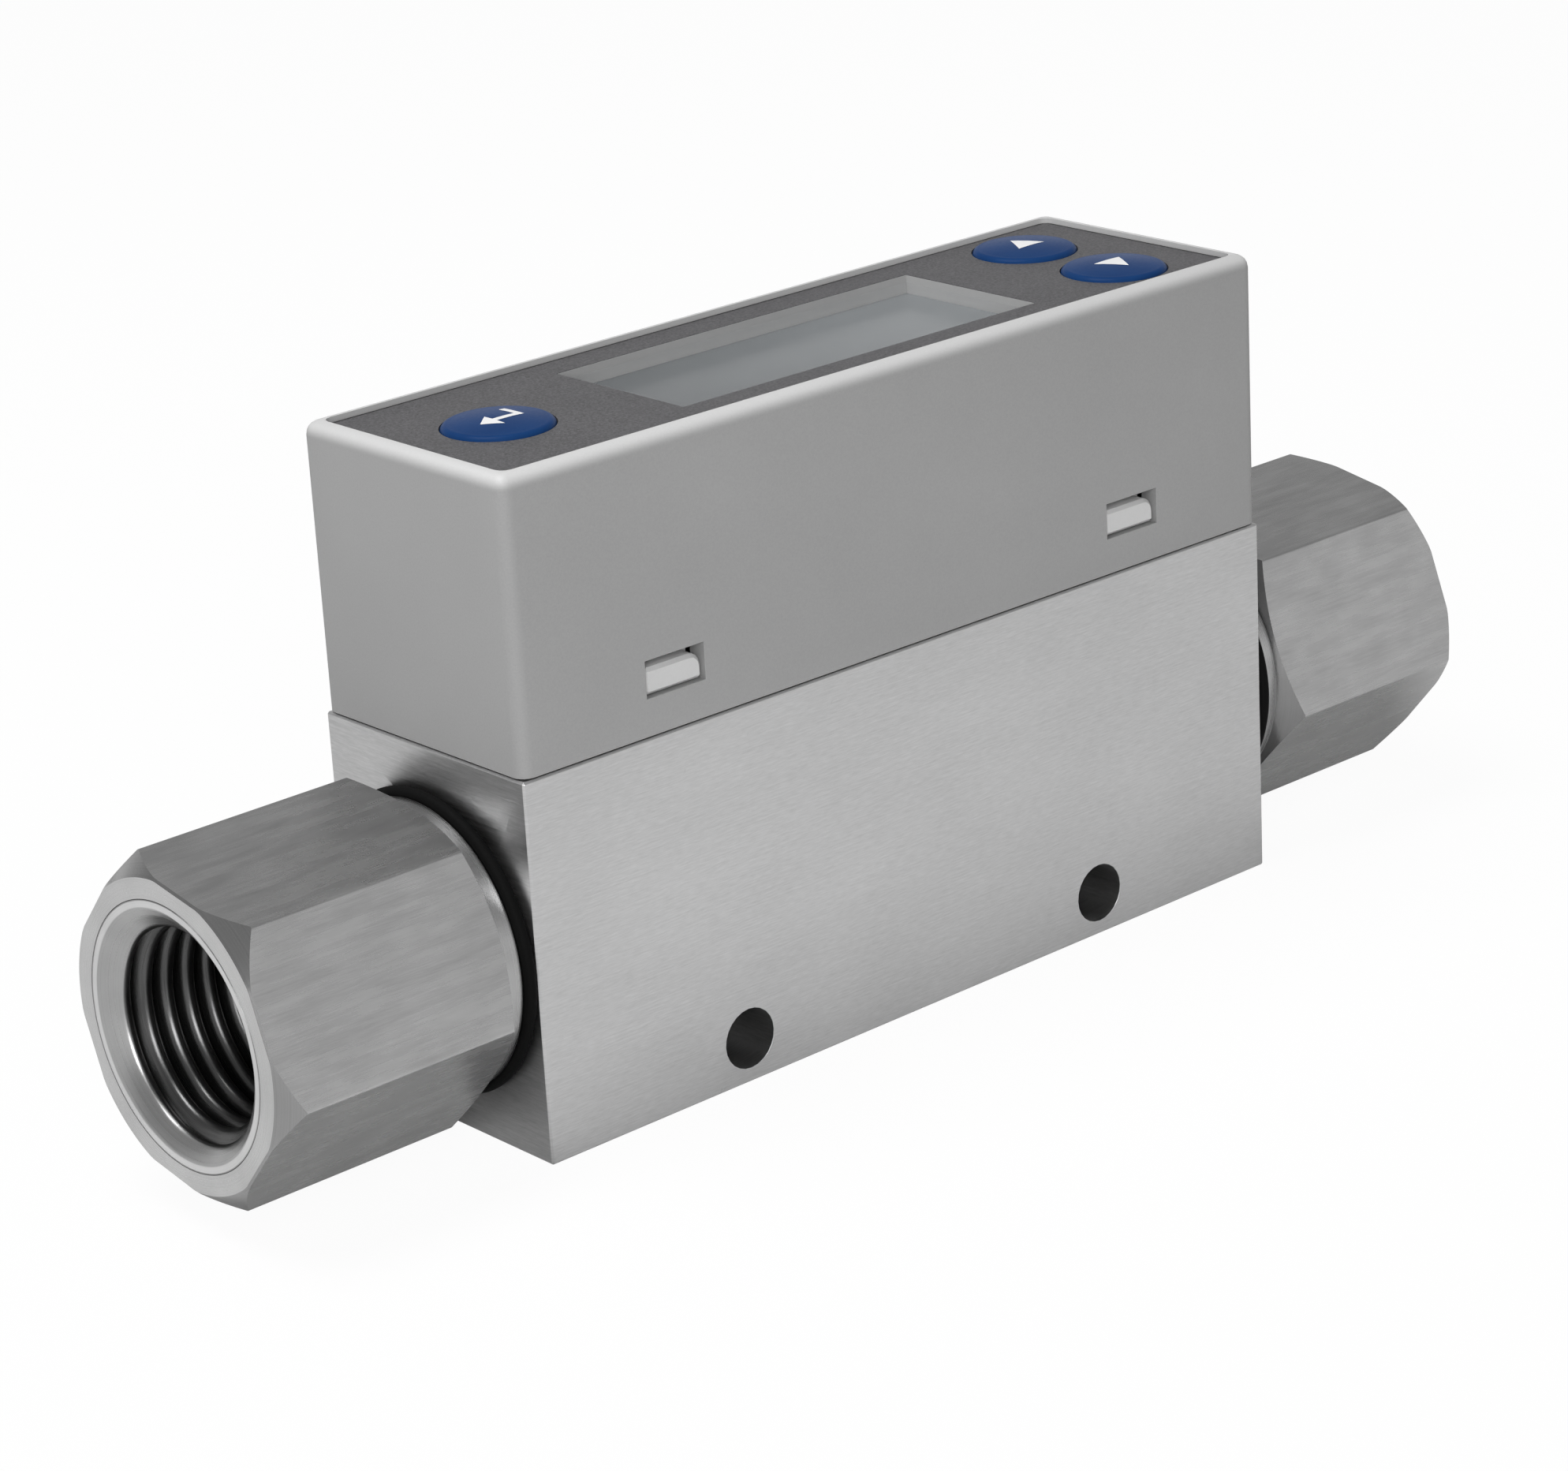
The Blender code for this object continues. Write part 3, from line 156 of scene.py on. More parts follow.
# %% A finish: one material and its nodes
class Finish:
    """A material with a Principled shader, and the nodes that vary it."""

    def __init__(self, name, roughness=0.5, metallic=0.0, **fixed):
        self.material = bpy.data.materials.new(name)
        self.material.use_nodes = True
        self.tree = self.material.node_tree
        self.shader = self.tree.nodes["Principled BSDF"]
        self.set({"Roughness": roughness, "Metallic": metallic})
        self.set({k.replace("_", " ").title().replace("Ior", "IOR"): v for k, v in fixed.items()})
        self.spot = Signal(self, self.node("ShaderNodeTexCoord").outputs["Object"])

    def node(self, kind, settings=None, sockets=None):
        made = self.tree.nodes.new(kind)
        for key, value in (settings or {}).items():
            setattr(made, key, value)
        for key, value in (sockets or {}).items():
            self.feed(made.inputs[key], value)
        return made

    def feed(self, socket, value):
        if isinstance(value, Signal):
            self.tree.links.new(value.socket, socket)
        else:
            socket.default_value = value

    def set(self, values):
        for key, value in values.items():
            self.feed(self.shader.inputs[key], value)

    def axes(self):
        """X, Y and Z on the object, in millimetres."""
        node = self.node("ShaderNodeSeparateXYZ", None, {0: self.spot})
        return [Signal(self, out) * (1 / MM) for out in node.outputs]

    def facing(self):
        """How far the surface faces along each axis, from 0 to 1."""
        normal = self.node("ShaderNodeNewGeometry").outputs["Normal"]
        node = self.node("ShaderNodeSeparateXYZ", None, {0: Signal(self, normal)})
        return [abs(Signal(self, out)) for out in node.outputs]

    def point(self, x, y, z):
        node = self.node("ShaderNodeCombineXYZ", None, {0: x, 1: y, 2: z})
        return Signal(self, node.outputs[0])

    def noise(self, where, scale, detail=2.0, roughness=0.5):
        sockets = {"Vector": where, "Scale": scale, "Detail": detail, "Roughness": roughness}
        node = self.node("ShaderNodeTexNoise", None, sockets)
        return Signal(self, node.outputs[0])

    def blend(self, amount, first, second):
        """One colour where the amount is 0, and the other where it is 1."""
        node = self.node("ShaderNodeMix", {"data_type": "RGBA"})
        self.feed(node.inputs["Factor"], amount)
        for key, colour in (("A", first), ("B", second)):
            value = colour if isinstance(colour, Signal) else (*colour, 1.0)
            self.feed(next(s for s in node.inputs if s.name == key and s.type == "RGBA"), value)
        return Signal(self, next(s for s in node.outputs if s.type == "RGBA"))

    def bump(self, height, distance, strength=1.0):
        sockets = {"Height": height, "Distance": distance, "Strength": strength}
        node = self.node("ShaderNodeBump", None, sockets)
        self.set({"Normal": Signal(self, node.outputs[0])})


def grey(value):
    return (value, value, value)


print("shader helpers ready")

# %% [markdown]
# ## Brushed aluminium
#
# The bar is milled and then brushed along its length, so the marks run level on all four sides and on
# the ends. Stretched noise makes them: it changes slowly along the stroke and fast across it. Three
# widths lie over each other, long strokes, finer hairs and short dashes. The same marks move the
# roughness a little, which is what makes brushed metal glint unevenly. A few scratches lie at a slant, a
# soft cloud keeps the wide faces from looking printed, and the two ends get a little painted shade.

# %% The bar's finish
BLOCK_TONE = 0.555
BLOCK_GLOSS = 0.36


def brushed_aluminium():
    finish = Finish("block_aluminium", metallic=1.0)
    x, y, z = finish.axes()
    endways, _, up = finish.facing()
    lying = up.above(0.7, 0.05)
    across = z * 9.0 + y * (lying * 9.0)
    strokes = finish.noise(finish.point(x * 0.35, y * 0.35, across), 1.0, 3.0, 0.65)
    hairs = finish.noise(finish.point(x * 0.12, y * 0.12, across * 2.6), 1.0, 2.0, 0.6)
    cloud = finish.noise(finish.point(x * 0.1, y * 0.1, z * 0.2), 1.0, 2.0)
    slant = finish.noise(finish.point(x * 2.2 - z * 1.3, y * 0.5, x * 0.35 + z * 0.55), 1.0, 3.0, 0.7)
    scratches = slant.above(0.72, 0.02) * finish.noise(finish.spot, 260.0).above(0.56, 0.04)
    dashes = finish.noise(finish.point(x * 1.3, y * 1.3, across * 1.2), 1.0, 2.0, 0.6)
    marks = (strokes - 0.5) * 0.13 + (hairs - 0.5) * 0.14 + (dashes - 0.5) * 0.17
    tone = marks + (cloud - 0.5) * 0.08 + BLOCK_TONE
    # The ends, facing along X, get painted shade: their tone is lowered by a fixed amount.
    tone = tone - scratches * 0.06 - endways * 0.1
    colour = finish.point(tone, tone, tone * 1.003)
    rough = (hairs - 0.5) * 0.22 + (strokes - 0.5) * 0.1 + BLOCK_GLOSS
    finish.set({"Base Color": colour, "Roughness": rough})
    finish.bump(strokes * 0.5 + hairs * 0.5 - scratches * 0.3, 0.012 * MM, 0.6)
    return finish.material


BLOCK_METAL = brushed_aluminium()
print(BLOCK_METAL.name, len(BLOCK_METAL.node_tree.nodes), "nodes")

# %% [markdown]
# ## Turned and milled steel
#
# The fittings are cut from hexagon bar. The six flats keep the bar's drawn lines, which run along the
# axis, while the chamfers and the front ring are turned and carry fine circles round the axis. The
# distance from the flow axis gives those circles, and how far the surface faces along X says which of
# the two patterns a spot gets. It also gives the front ring a painted highlight, a little paler than the
# flats, and the sloping cones painted shade, a little darker. The thread has the same recipe with a
# darker tone, which is painted shade for the deep bore, and is pale again only where the countersink
# opens at its mouth, where that painted shade stops.

# %% The fittings' finish
TURNED_RADIUS = 8.35  # in millimetres, like what axes() gives
MOUTH_DEPTH = 1.0


def fitting_steel(name, tone_value, gloss, mouth_tone=0.0):
    finish = Finish(name, metallic=1.0)
    x, y, z = finish.axes()
    facing_x, _, _ = finish.facing()
    face = facing_x.above(0.95, 0.03)
    outward = facing_x.above(0.5, 0.1)
    cone = outward * (1.0 - face)
    # For the thread, the raised tone at the mouth ends its painted shade where the countersink opens.
    mouth = (abs(x) - (PORT_FACE / MM - MOUTH_DEPTH)).above(0.0, 0.06) * outward * mouth_tone
    height = z - AXIS_HEIGHT / MM
    radius = (y * y + height * height) ** 0.5
    turned = 1.0 - radius.above(TURNED_RADIUS, 0.05) * (1.0 - facing_x.above(0.3, 0.1))
    drawn = finish.noise(finish.point(x * 0.35, y * 7.0, z * 7.0), 1.0, 3.0, 0.65)
    streaks = finish.noise(finish.point(x * 0.2, y * 1.3, z * 1.3), 1.0, 3.0, 0.6)
    rings = finish.noise(finish.point(radius * 14.0, x * 14.0, 0.0), 1.0, 2.0, 0.6)
    cloud = finish.noise(finish.spot, 320.0, 2.0)
    flats = (drawn - 0.5) * 0.08 + (streaks - 0.5) * 0.2
    circles = (rings - 0.5) * 0.12
    pattern = flats * (1.0 - turned) + circles * turned
    # The front ring gets a painted highlight (face * 0.16) and the sloping cones painted shade (cone * 0.3).
    tone = (pattern + (cloud - 0.5) * 0.12 + mouth + tone_value) * (1.0 - cone * 0.3 + face * 0.16)
    rough = pattern * 0.5 + gloss - cone * 0.06
    finish.set({"Base Color": finish.point(tone, tone, tone), "Roughness": rough})
    finish.bump(drawn, 0.01 * MM, 0.4)
    return finish.material


FITTING_METAL = fitting_steel("fitting_steel", 0.42, 0.27)
# The thread's low tone is painted shade for the deep bore.
THREAD_METAL = fitting_steel("thread_steel", 0.13, 0.34, mouth_tone=0.38)
print(FITTING_METAL.name, len(FITTING_METAL.node_tree.nodes), "nodes")

# %% [markdown]
# ## Moulded plastics and the film
#
# The cover is sprayed or spark-eroded plastic with a very fine even grain, with a painted highlight where
# its rim rounds over, and a little smoother there. The film is dark and finely speckled, with a thin line
# of painted shade round its outer edge, where it lies sunk below the rim. The keys are a deep, even blue
# with little gloss. Grain this fine is more a matter of colour and roughness than of shape, so the bump
# stays small.

# %% The cover's finish
RIM_DEPTH = 0.5  # millimetres below the cover's top


def cover_plastic():
    finish = Finish("cover_plastic")
    z = finish.axes()[2]
    grain = finish.noise(finish.spot, 9000.0, 2.0, 0.6)
    cloud = finish.noise(finish.spot, 110.0, 3.0)
    # The rim mask paints a highlight on the rounded rim and makes it a little smoother.
    rim = z.above(COVER_TOP / MM - RIM_DEPTH, 0.35)
    tone = rim * 0.24 + (grain - 0.5) * 0.06 + (cloud - 0.5) * 0.035 + 0.31
    colour = finish.point(tone, tone, tone)
    finish.set({"Base Color": colour, "Roughness": (grain - 0.5) * 0.2 + 0.62 - rim * 0.12})
    finish.bump(grain, 0.01 * MM, 0.35)
    return finish.material


COVER_PLASTIC = cover_plastic()

# %% The film's finish
EDGE_SHADE_WIDTH = 0.16  # in millimetres


def overlay_film():
    finish = Finish("overlay_film", specular_ior_level=0.25)
    speckle = finish.noise(finish.spot, 7000.0, 3.0, 0.75)
    cloud = finish.noise(finish.spot, 160.0, 2.0)
    x, y, _ = finish.axes()
    # The outline is painted shade along the film's edge, where it lies sunk below the rim.
    edge_x = (abs(x) - overlay_high.x / MM).above(-EDGE_SHADE_WIDTH, 0.06)
    edge_y = (abs(y) - overlay_high.y / MM).above(-EDGE_SHADE_WIDTH, 0.06)
    outline = edge_x + edge_y - edge_x * edge_y
    tone = ((speckle - 0.5) * 0.24 + (cloud - 0.5) * 0.02 + 0.084) * (1.0 - outline * 0.8)
    colour = finish.point(tone, tone * 0.985, tone * 1.03)
    finish.set({"Base Color": colour, "Roughness": speckle * 0.3 + 0.42})
    finish.bump(speckle, 0.008 * MM, 0.4)
    return finish.material


OVERLAY_FILM = overlay_film()

# %% Blue key plastic
def key_plastic():
    finish = Finish("key_plastic", specular_ior_level=0.03)
    cloud = finish.noise(finish.spot, 500.0, 3.0)
    fine = finish.noise(finish.spot, 6000.0, 2.0)
    colour = finish.blend(cloud, (0.007, 0.032, 0.115), (0.01, 0.045, 0.148))
    finish.set({"Base Color": colour, "Roughness": fine * 0.12 + 0.28})
    finish.bump(cloud, 0.02 * MM, 0.2)
    return finish.material


KEY_PLASTIC = key_plastic()

# %% [markdown]
# ## One helper for the plainer finishes
#
# The rubber rings, the white latches, the boards and the screens are simple: a colour that drifts a
# little, a fine grain, and a roughness that follows the grain. One function makes them all.

# %% Plain grained finishes
def grained(name, dark, light, roughness, scale=3000.0, metallic=0.0, depth=0.01 * MM, **fixed):
    finish = Finish(name, metallic=metallic, **fixed)
    grain = finish.noise(finish.spot, scale, 3.0, 0.6)
    cloud = finish.noise(finish.spot, scale / 14, 2.0)
    finish.set({
        "Base Color": finish.blend(grain * 0.5 + cloud * 0.5, dark, light),
        "Roughness": (grain - 0.5) * 0.25 + roughness,
    })
    finish.bump(grain, depth, 0.4)
    return finish.material


PLAIN = {
    "seal_rubber": grained("seal_rubber", grey(0.002), grey(0.005), 0.7, specular_ior_level=0.06),
    "chassis_plastic": grained("chassis_plastic", grey(0.52), grey(0.62), 0.45),
    "screen_steel": grained("screen_steel", grey(0.38), grey(0.5), 0.35, metallic=1.0),
    "frame_steel": grained("frame_steel", grey(0.45), grey(0.58), 0.3, metallic=1.0),
    "screw_steel": grained("screw_steel", grey(0.4), grey(0.52), 0.3, metallic=1.0),
    "contact_metal": grained("contact_metal", (0.6, 0.48, 0.2), (0.75, 0.62, 0.3), 0.3, metallic=1.0),
    "switch_plastic": grained("switch_plastic", grey(0.02), grey(0.04), 0.5),
    "chip_resin": grained("chip_resin", grey(0.012), grey(0.028), 0.5),
    "carrier_plastic": grained("carrier_plastic", grey(0.035), grey(0.06), 0.45),
    "cell_wrap": grained("cell_wrap", (0.42, 0.42, 0.45), (0.52, 0.52, 0.56), 0.35),
    "light_guide": grained("light_guide", (0.7, 0.76, 0.76), (0.8, 0.86, 0.86), 0.3),
    "print_white": grained("print_white", grey(0.72), grey(0.84), 0.5, specular_ior_level=0.2),
    "window_border": grained("window_border", grey(0.35), grey(0.42), 0.4, specular_ior_level=0.3),
}
print("plain finishes:", ", ".join(PLAIN))

# %% [markdown]
# ## Circuit boards, display glass and the clear pane
#
# A board is green with paler tracks under the mask, which a stepped pattern suggests well enough for a
# piece that is only glimpsed. The display is off, so its glass is a plain blue grey, dark at the inlet's
# end and paler towards the outlet, which is a painted reflection of a bright wall there. The pane over
# it has to let light straight through to the glass. A true glass shader would hold most of the light
# back, so the pane is nearly transparent and keeps only its gloss.

# %% Boards
def board_laminate():
    finish = Finish("board_laminate")
    x, y, z = finish.axes()
    lanes = finish.noise(finish.point(x * 0.9, y * 2.4, z), 1.0, 0.0).above(0.52, 0.01)
    colour = finish.blend(lanes, (0.012, 0.085, 0.035), (0.02, 0.15, 0.06))
    finish.set({"Base Color": colour, "Roughness": lanes * 0.1 + 0.32})
    finish.bump(lanes, 0.03 * MM, 0.5)
    return finish.material


BOARD_GREEN = board_laminate()

# %% Display glass and pane
REFLECTION_FADE = 16.0  # millimetres to each side of the middle


def display_glass():
    finish = Finish("display_glass", specular_ior_level=0.3)
    x = finish.axes()[0]
    # Paler towards the outlet end: a painted reflection of a bright wall.
    rise = x.above(0.0, REFLECTION_FADE)
    cloud = finish.noise(finish.spot, 200.0, 2.0)
    colour = finish.blend(rise * 0.8 + cloud * 0.2, (0.07, 0.077, 0.083), (0.2, 0.215, 0.225))
    finish.set({"Base Color": colour, "Roughness": cloud * 0.1 + 0.15})
    return finish.material


def clear_pane():
    finish = Finish("lens_plastic", roughness=0.06, specular_ior_level=0.3)
    haze = finish.noise(finish.spot, 400.0, 2.0)
    finish.set({"Base Color": (0.5, 0.52, 0.53, 1.0), "Alpha": haze * 0.04 + 0.03})
    return finish.material


GLASS_GREY = display_glass()
LENS_PLASTIC = clear_pane()
SLOTS = dict(
    PLAIN,
    block_aluminium=BLOCK_METAL,
    fitting_steel=FITTING_METAL,
    cover_plastic=COVER_PLASTIC,
    overlay_film=OVERLAY_FILM,
    key_plastic=KEY_PLASTIC,
    board_laminate=BOARD_GREEN,
    display_glass=GLASS_GREY,
    lens_plastic=LENS_PLASTIC,
)

# %% [markdown]
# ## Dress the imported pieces
#
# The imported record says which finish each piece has. A piece whose shape is already right only needs its
# material slots filled.

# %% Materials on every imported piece
slot_of = {row["node"]: row["material_slot"] for row in frame["record"]["subparts"]}
for name, node in frame["nodes"].items():
    node.data.materials.clear()
    node.data.materials.append(SLOTS[slot_of[name]])
print("dressed", len(slot_of), "pieces")

# %% [markdown]
# ## Helpers for new pieces
#
# A finished piece is a mesh whose points are already in place, on an object that sits unturned at the
# origin. It rides on one of the model's bodies, and hides the imported pieces it stands for.

# %% Adding a finished piece
def add_piece(name, mesh, body, material, replaced=()):
    mesh.materials.clear()
    mesh.materials.append(material)
    piece = bpy.data.objects.new(name, mesh)
    bpy.context.scene.collection.objects.link(piece)
    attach(piece, body)
    if replaced:
        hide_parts(*replaced)
    print("%s: %d triangles" % (name, sum(len(p.vertices) - 2 for p in mesh.polygons)))


def frozen(obj, name):
    """The object's shape with its modifiers applied, as a plain mesh. The object goes."""
    graph = bpy.context.evaluated_depsgraph_get()
    mesh = bpy.data.meshes.new_from_object(obj.evaluated_get(graph))
    mesh.name = name
    bpy.data.objects.remove(obj)
    return mesh


# %% [markdown]
# ## Broken edges on the moulded and milled pieces
#
# No real edge is perfectly sharp: even a clean one has a tiny round that catches the light, and that
# bright line is much of what makes a small object look real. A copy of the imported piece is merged, its
# flat faces are joined up again, and a Bevel modifier rounds only the edges that turn sharply.

# %% Edge rounding
MERGE_DISTANCE = 0.001 * MM
FLAT_ANGLE = math.radians(0.4)
BEVEL_ANGLE = math.radians(35.0)
SHARP_ANGLE = math.radians(30.0)


def edge_broken(node, width):
    source = frame["nodes"][node].data.copy()
    bm = bmesh.new()
    bm.from_mesh(source)
    bmesh.ops.remove_doubles(bm, verts=bm.verts, dist=MERGE_DISTANCE)
    bmesh.ops.dissolve_limit(bm, angle_limit=FLAT_ANGLE, verts=bm.verts, edges=bm.edges)
    bm.to_mesh(source)
    bm.free()
    working = bpy.data.objects.new(node + "_working", source)
    bpy.context.scene.collection.objects.link(working)
    bevel = working.modifiers.new("edges", "BEVEL")
    bevel.width = width
    bevel.segments = 2
    bevel.limit_method = "ANGLE"
    bevel.angle_limit = BEVEL_ANGLE
    bevel.harden_normals = True
    source.shade_smooth()
    source.set_sharp_from_angle(angle=SHARP_ANGLE)
    return frozen(working, node + "_fine")


for node, width in (("flow_block", 0.03 * MM), ("cover", 0.04 * MM), ("chassis", 0.06 * MM)):
    mesh = edge_broken(node, width)
    add_piece(node + "_fine", mesh, "housing", SLOTS[slot_of[node]], [node])

# %% [markdown]
# ## The hexagonal fittings
#
# A fitting is hexagon bar in a lathe: the flats stay, and the tool takes the corners off at 45 degrees in
# front and at a flatter slope behind, which leaves the curved edges that every nut has. Behind the
# hexagon it leaves a round collar that presses the rubber ring against the block. That shape follows a
# rule: at each angle round the axis the flat is a known distance away, and each chamfer starts on a
# fixed circle. So the piece is wrapped from columns, one closed outline for each angle, and the curved
# edges fall where the outline says.

# %% The flat's distance at each angle
SIDE_ANGLE = math.radians(60.0)
HALF_SIDE_ANGLE = math.radians(30.0)


def hex_corner_angle(node):
    """The angle of one corner round the flow axis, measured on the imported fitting."""
    best = max(frame["nodes"][node].data.vertices,
               key=lambda v: math.hypot(v.co.y, v.co.z - AXIS_HEIGHT)).co
    return math.atan2(best.y, best.z - AXIS_HEIGHT)


def hex_distance(angle, corner):
    """How far the hexagon's side is from the axis, with its corners a little rounded."""
    flat = HEX_FLATS / 2
    off = abs((angle - corner + HALF_SIDE_ANGLE) % SIDE_ANGLE - HALF_SIDE_ANGLE)
    centre = (flat - CORNER_ROUNDING) / math.cos(HALF_SIDE_ANGLE)
    rounding_ends = HALF_SIDE_ANGLE - math.atan2(centre / 2, flat)
    if off >= rounding_ends:
        return flat / math.cos(HALF_SIDE_ANGLE - off)
    return centre * math.cos(off) + math.sqrt(CORNER_ROUNDING ** 2 - (centre * math.sin(off)) ** 2)


def column_angles(corner):
    """Angles round the axis, closer together at the six corners."""
    near = (0.25, 0.5, 0.8, 1.2, 2.0, 3.5)
    steps = [0.0, *near] + [6.0 + 2.4 * k for k in range(21)] + [60.0 - s for s in reversed(near)]
    return [corner + math.radians(60.0 * side + step) for side in range(6) for step in steps]


print("corner at %.1f degrees" % math.degrees(hex_corner_angle("inlet_fitting")))


# %% One outline of the fitting
THREAD_ROWS = 138
ROWS_PER_TURN = 16
THREAD_DEPTH = THREAD_ROWS * THREAD_PITCH / ROWS_PER_TURN
print("thread depth %.2f mm" % (THREAD_DEPTH / MM))


def fitting_outline(reach):
    """The closed outline at one angle, as (distance out of the block, distance from the axis)."""
    front = SEAL_SPACE + HEX_LENGTH
    face = min(FRONT_CIRCLE, reach - LEAST_CHAMFER)
    thread_end = front - THREAD_DEPTH
    inner_end = fitting_high.x + HALF_LENGTH
    return [
        (-inner_end, CHANNEL),
        (-inner_end, SPIGOT),
        (NECK_GAP, SPIGOT),
        (NECK_GAP, NECK),
        (COLLAR_SPACE, NECK),
        (COLLAR_SPACE, COLLAR),
        (SEAL_SPACE + (COLLAR - REAR_CIRCLE) * REAR_SLOPE, COLLAR),
        (SEAL_SPACE + (reach - REAR_CIRCLE) * REAR_SLOPE, reach),
        (front - (reach - face), reach),
        (front, face),
        (front, SINK_MOUTH - SINK_OVERLAP),
        (front - SOCKET_FLARE, SOCKET_BORE),
        (thread_end, SOCKET_BORE),
        (thread_end, THREAD_MAJOR),
        (thread_end - (THREAD_MAJOR - CHANNEL) * DRILL_SLOPE, CHANNEL),
    ]


# %% Wrap the outlines round the axis
HEX_SHARP_ANGLE = math.radians(25.0)


def fitting_mesh(name, node, side):
    corner = hex_corner_angle(node)
    bm = bmesh.new()
    columns = []
    for angle in column_angles(corner):
        outline = fitting_outline(hex_distance(angle, corner))
        columns.append([
            bm.verts.new((
                side * (HALF_LENGTH + out),
                radius * math.sin(angle),
                AXIS_HEIGHT + radius * math.cos(angle),
            ))
            for out, radius in outline
        ])
    for k, column in enumerate(columns):
        following = columns[(k + 1) % len(columns)]
        for j in range(len(column)):
            n = (j + 1) % len(column)
            bm.faces.new((column[j], column[n], following[n], following[j]))
    bmesh.ops.recalc_face_normals(bm, faces=bm.faces)
    mesh = bpy.data.meshes.new(name)
    bm.to_mesh(mesh)
    bm.free()
    mesh.shade_smooth()
    mesh.set_sharp_from_angle(angle=HEX_SHARP_ANGLE)
    return mesh


for port, side in (("inlet", -1), ("outlet", 1)):
    node = port + "_fitting"
    mesh = fitting_mesh(port + "_hexagon", node, side)
    add_piece(port + "_hexagon", mesh, "housing", FITTING_METAL, [node])

# %% [markdown]
# ## The pipe thread, with Geometry Nodes
#
# A thread is a groove that climbs one pitch in every turn. Instead of sweeping a tool round, the tree
# takes a flat grid and rolls it up: across the grid is the angle, up the grid is the depth, and the
# distance from the axis is a wave in depth plus angle. Each column starts a little further along, so the
# rows follow the helix and the crests stay clean. The mouth is a countersink, open at the face and with
# a narrower cone below, and wherever it is wider than the thread it wins, just as the real tool cuts
# the first turns away.

# %% Small helper for node trees
class Tree:
    """A Geometry Nodes tree with named inputs."""

    def __init__(self, name):
        self.tree = bpy.data.node_groups.new(name, "GeometryNodeTree")
        self.tree.interface.new_socket("Geometry", in_out="OUTPUT", socket_type="NodeSocketGeometry")
        self.names = {}
        self.inputs = self.tree.nodes.new("NodeGroupInput")

    def value(self, name, kind, default=None):
        socket = self.tree.interface.new_socket(name, in_out="INPUT", socket_type="NodeSocket" + kind)
        if default is not None:
            socket.default_value = default
        self.names[name] = socket.identifier
        return self.inputs.outputs[name]

    def node(self, kind, settings=None, sockets=None):
        made = self.tree.nodes.new(kind)
        for key, value in (settings or {}).items():
            setattr(made, key, value)
        for key, value in (sockets or {}).items():
            if isinstance(value, bpy.types.NodeSocket):
                self.tree.links.new(value, made.inputs[key])
            else:
                made.inputs[key].default_value = value
        return made

    def maths(self, operation, *values):
        node = self.node("ShaderNodeMath", {"operation": operation}, dict(enumerate(values)))
        return node.outputs[0]

    def finish(self, geometry, material):
        real = self.node("GeometryNodeRealizeInstances", None, {"Geometry": geometry}).outputs[0]
        dressed = self.node("GeometryNodeSetMaterial", None, {"Geometry": real, "Material": material})
        end = self.tree.nodes.new("NodeGroupOutput")
        self.tree.links.new(dressed.outputs[0], end.inputs[0])
        return self


# %% The thread tree
THREAD_COLUMNS = 161
THREAD_START = 0.6
CREST_FLAT = 0.1
SEAM_DISTANCE = 0.002 * MM


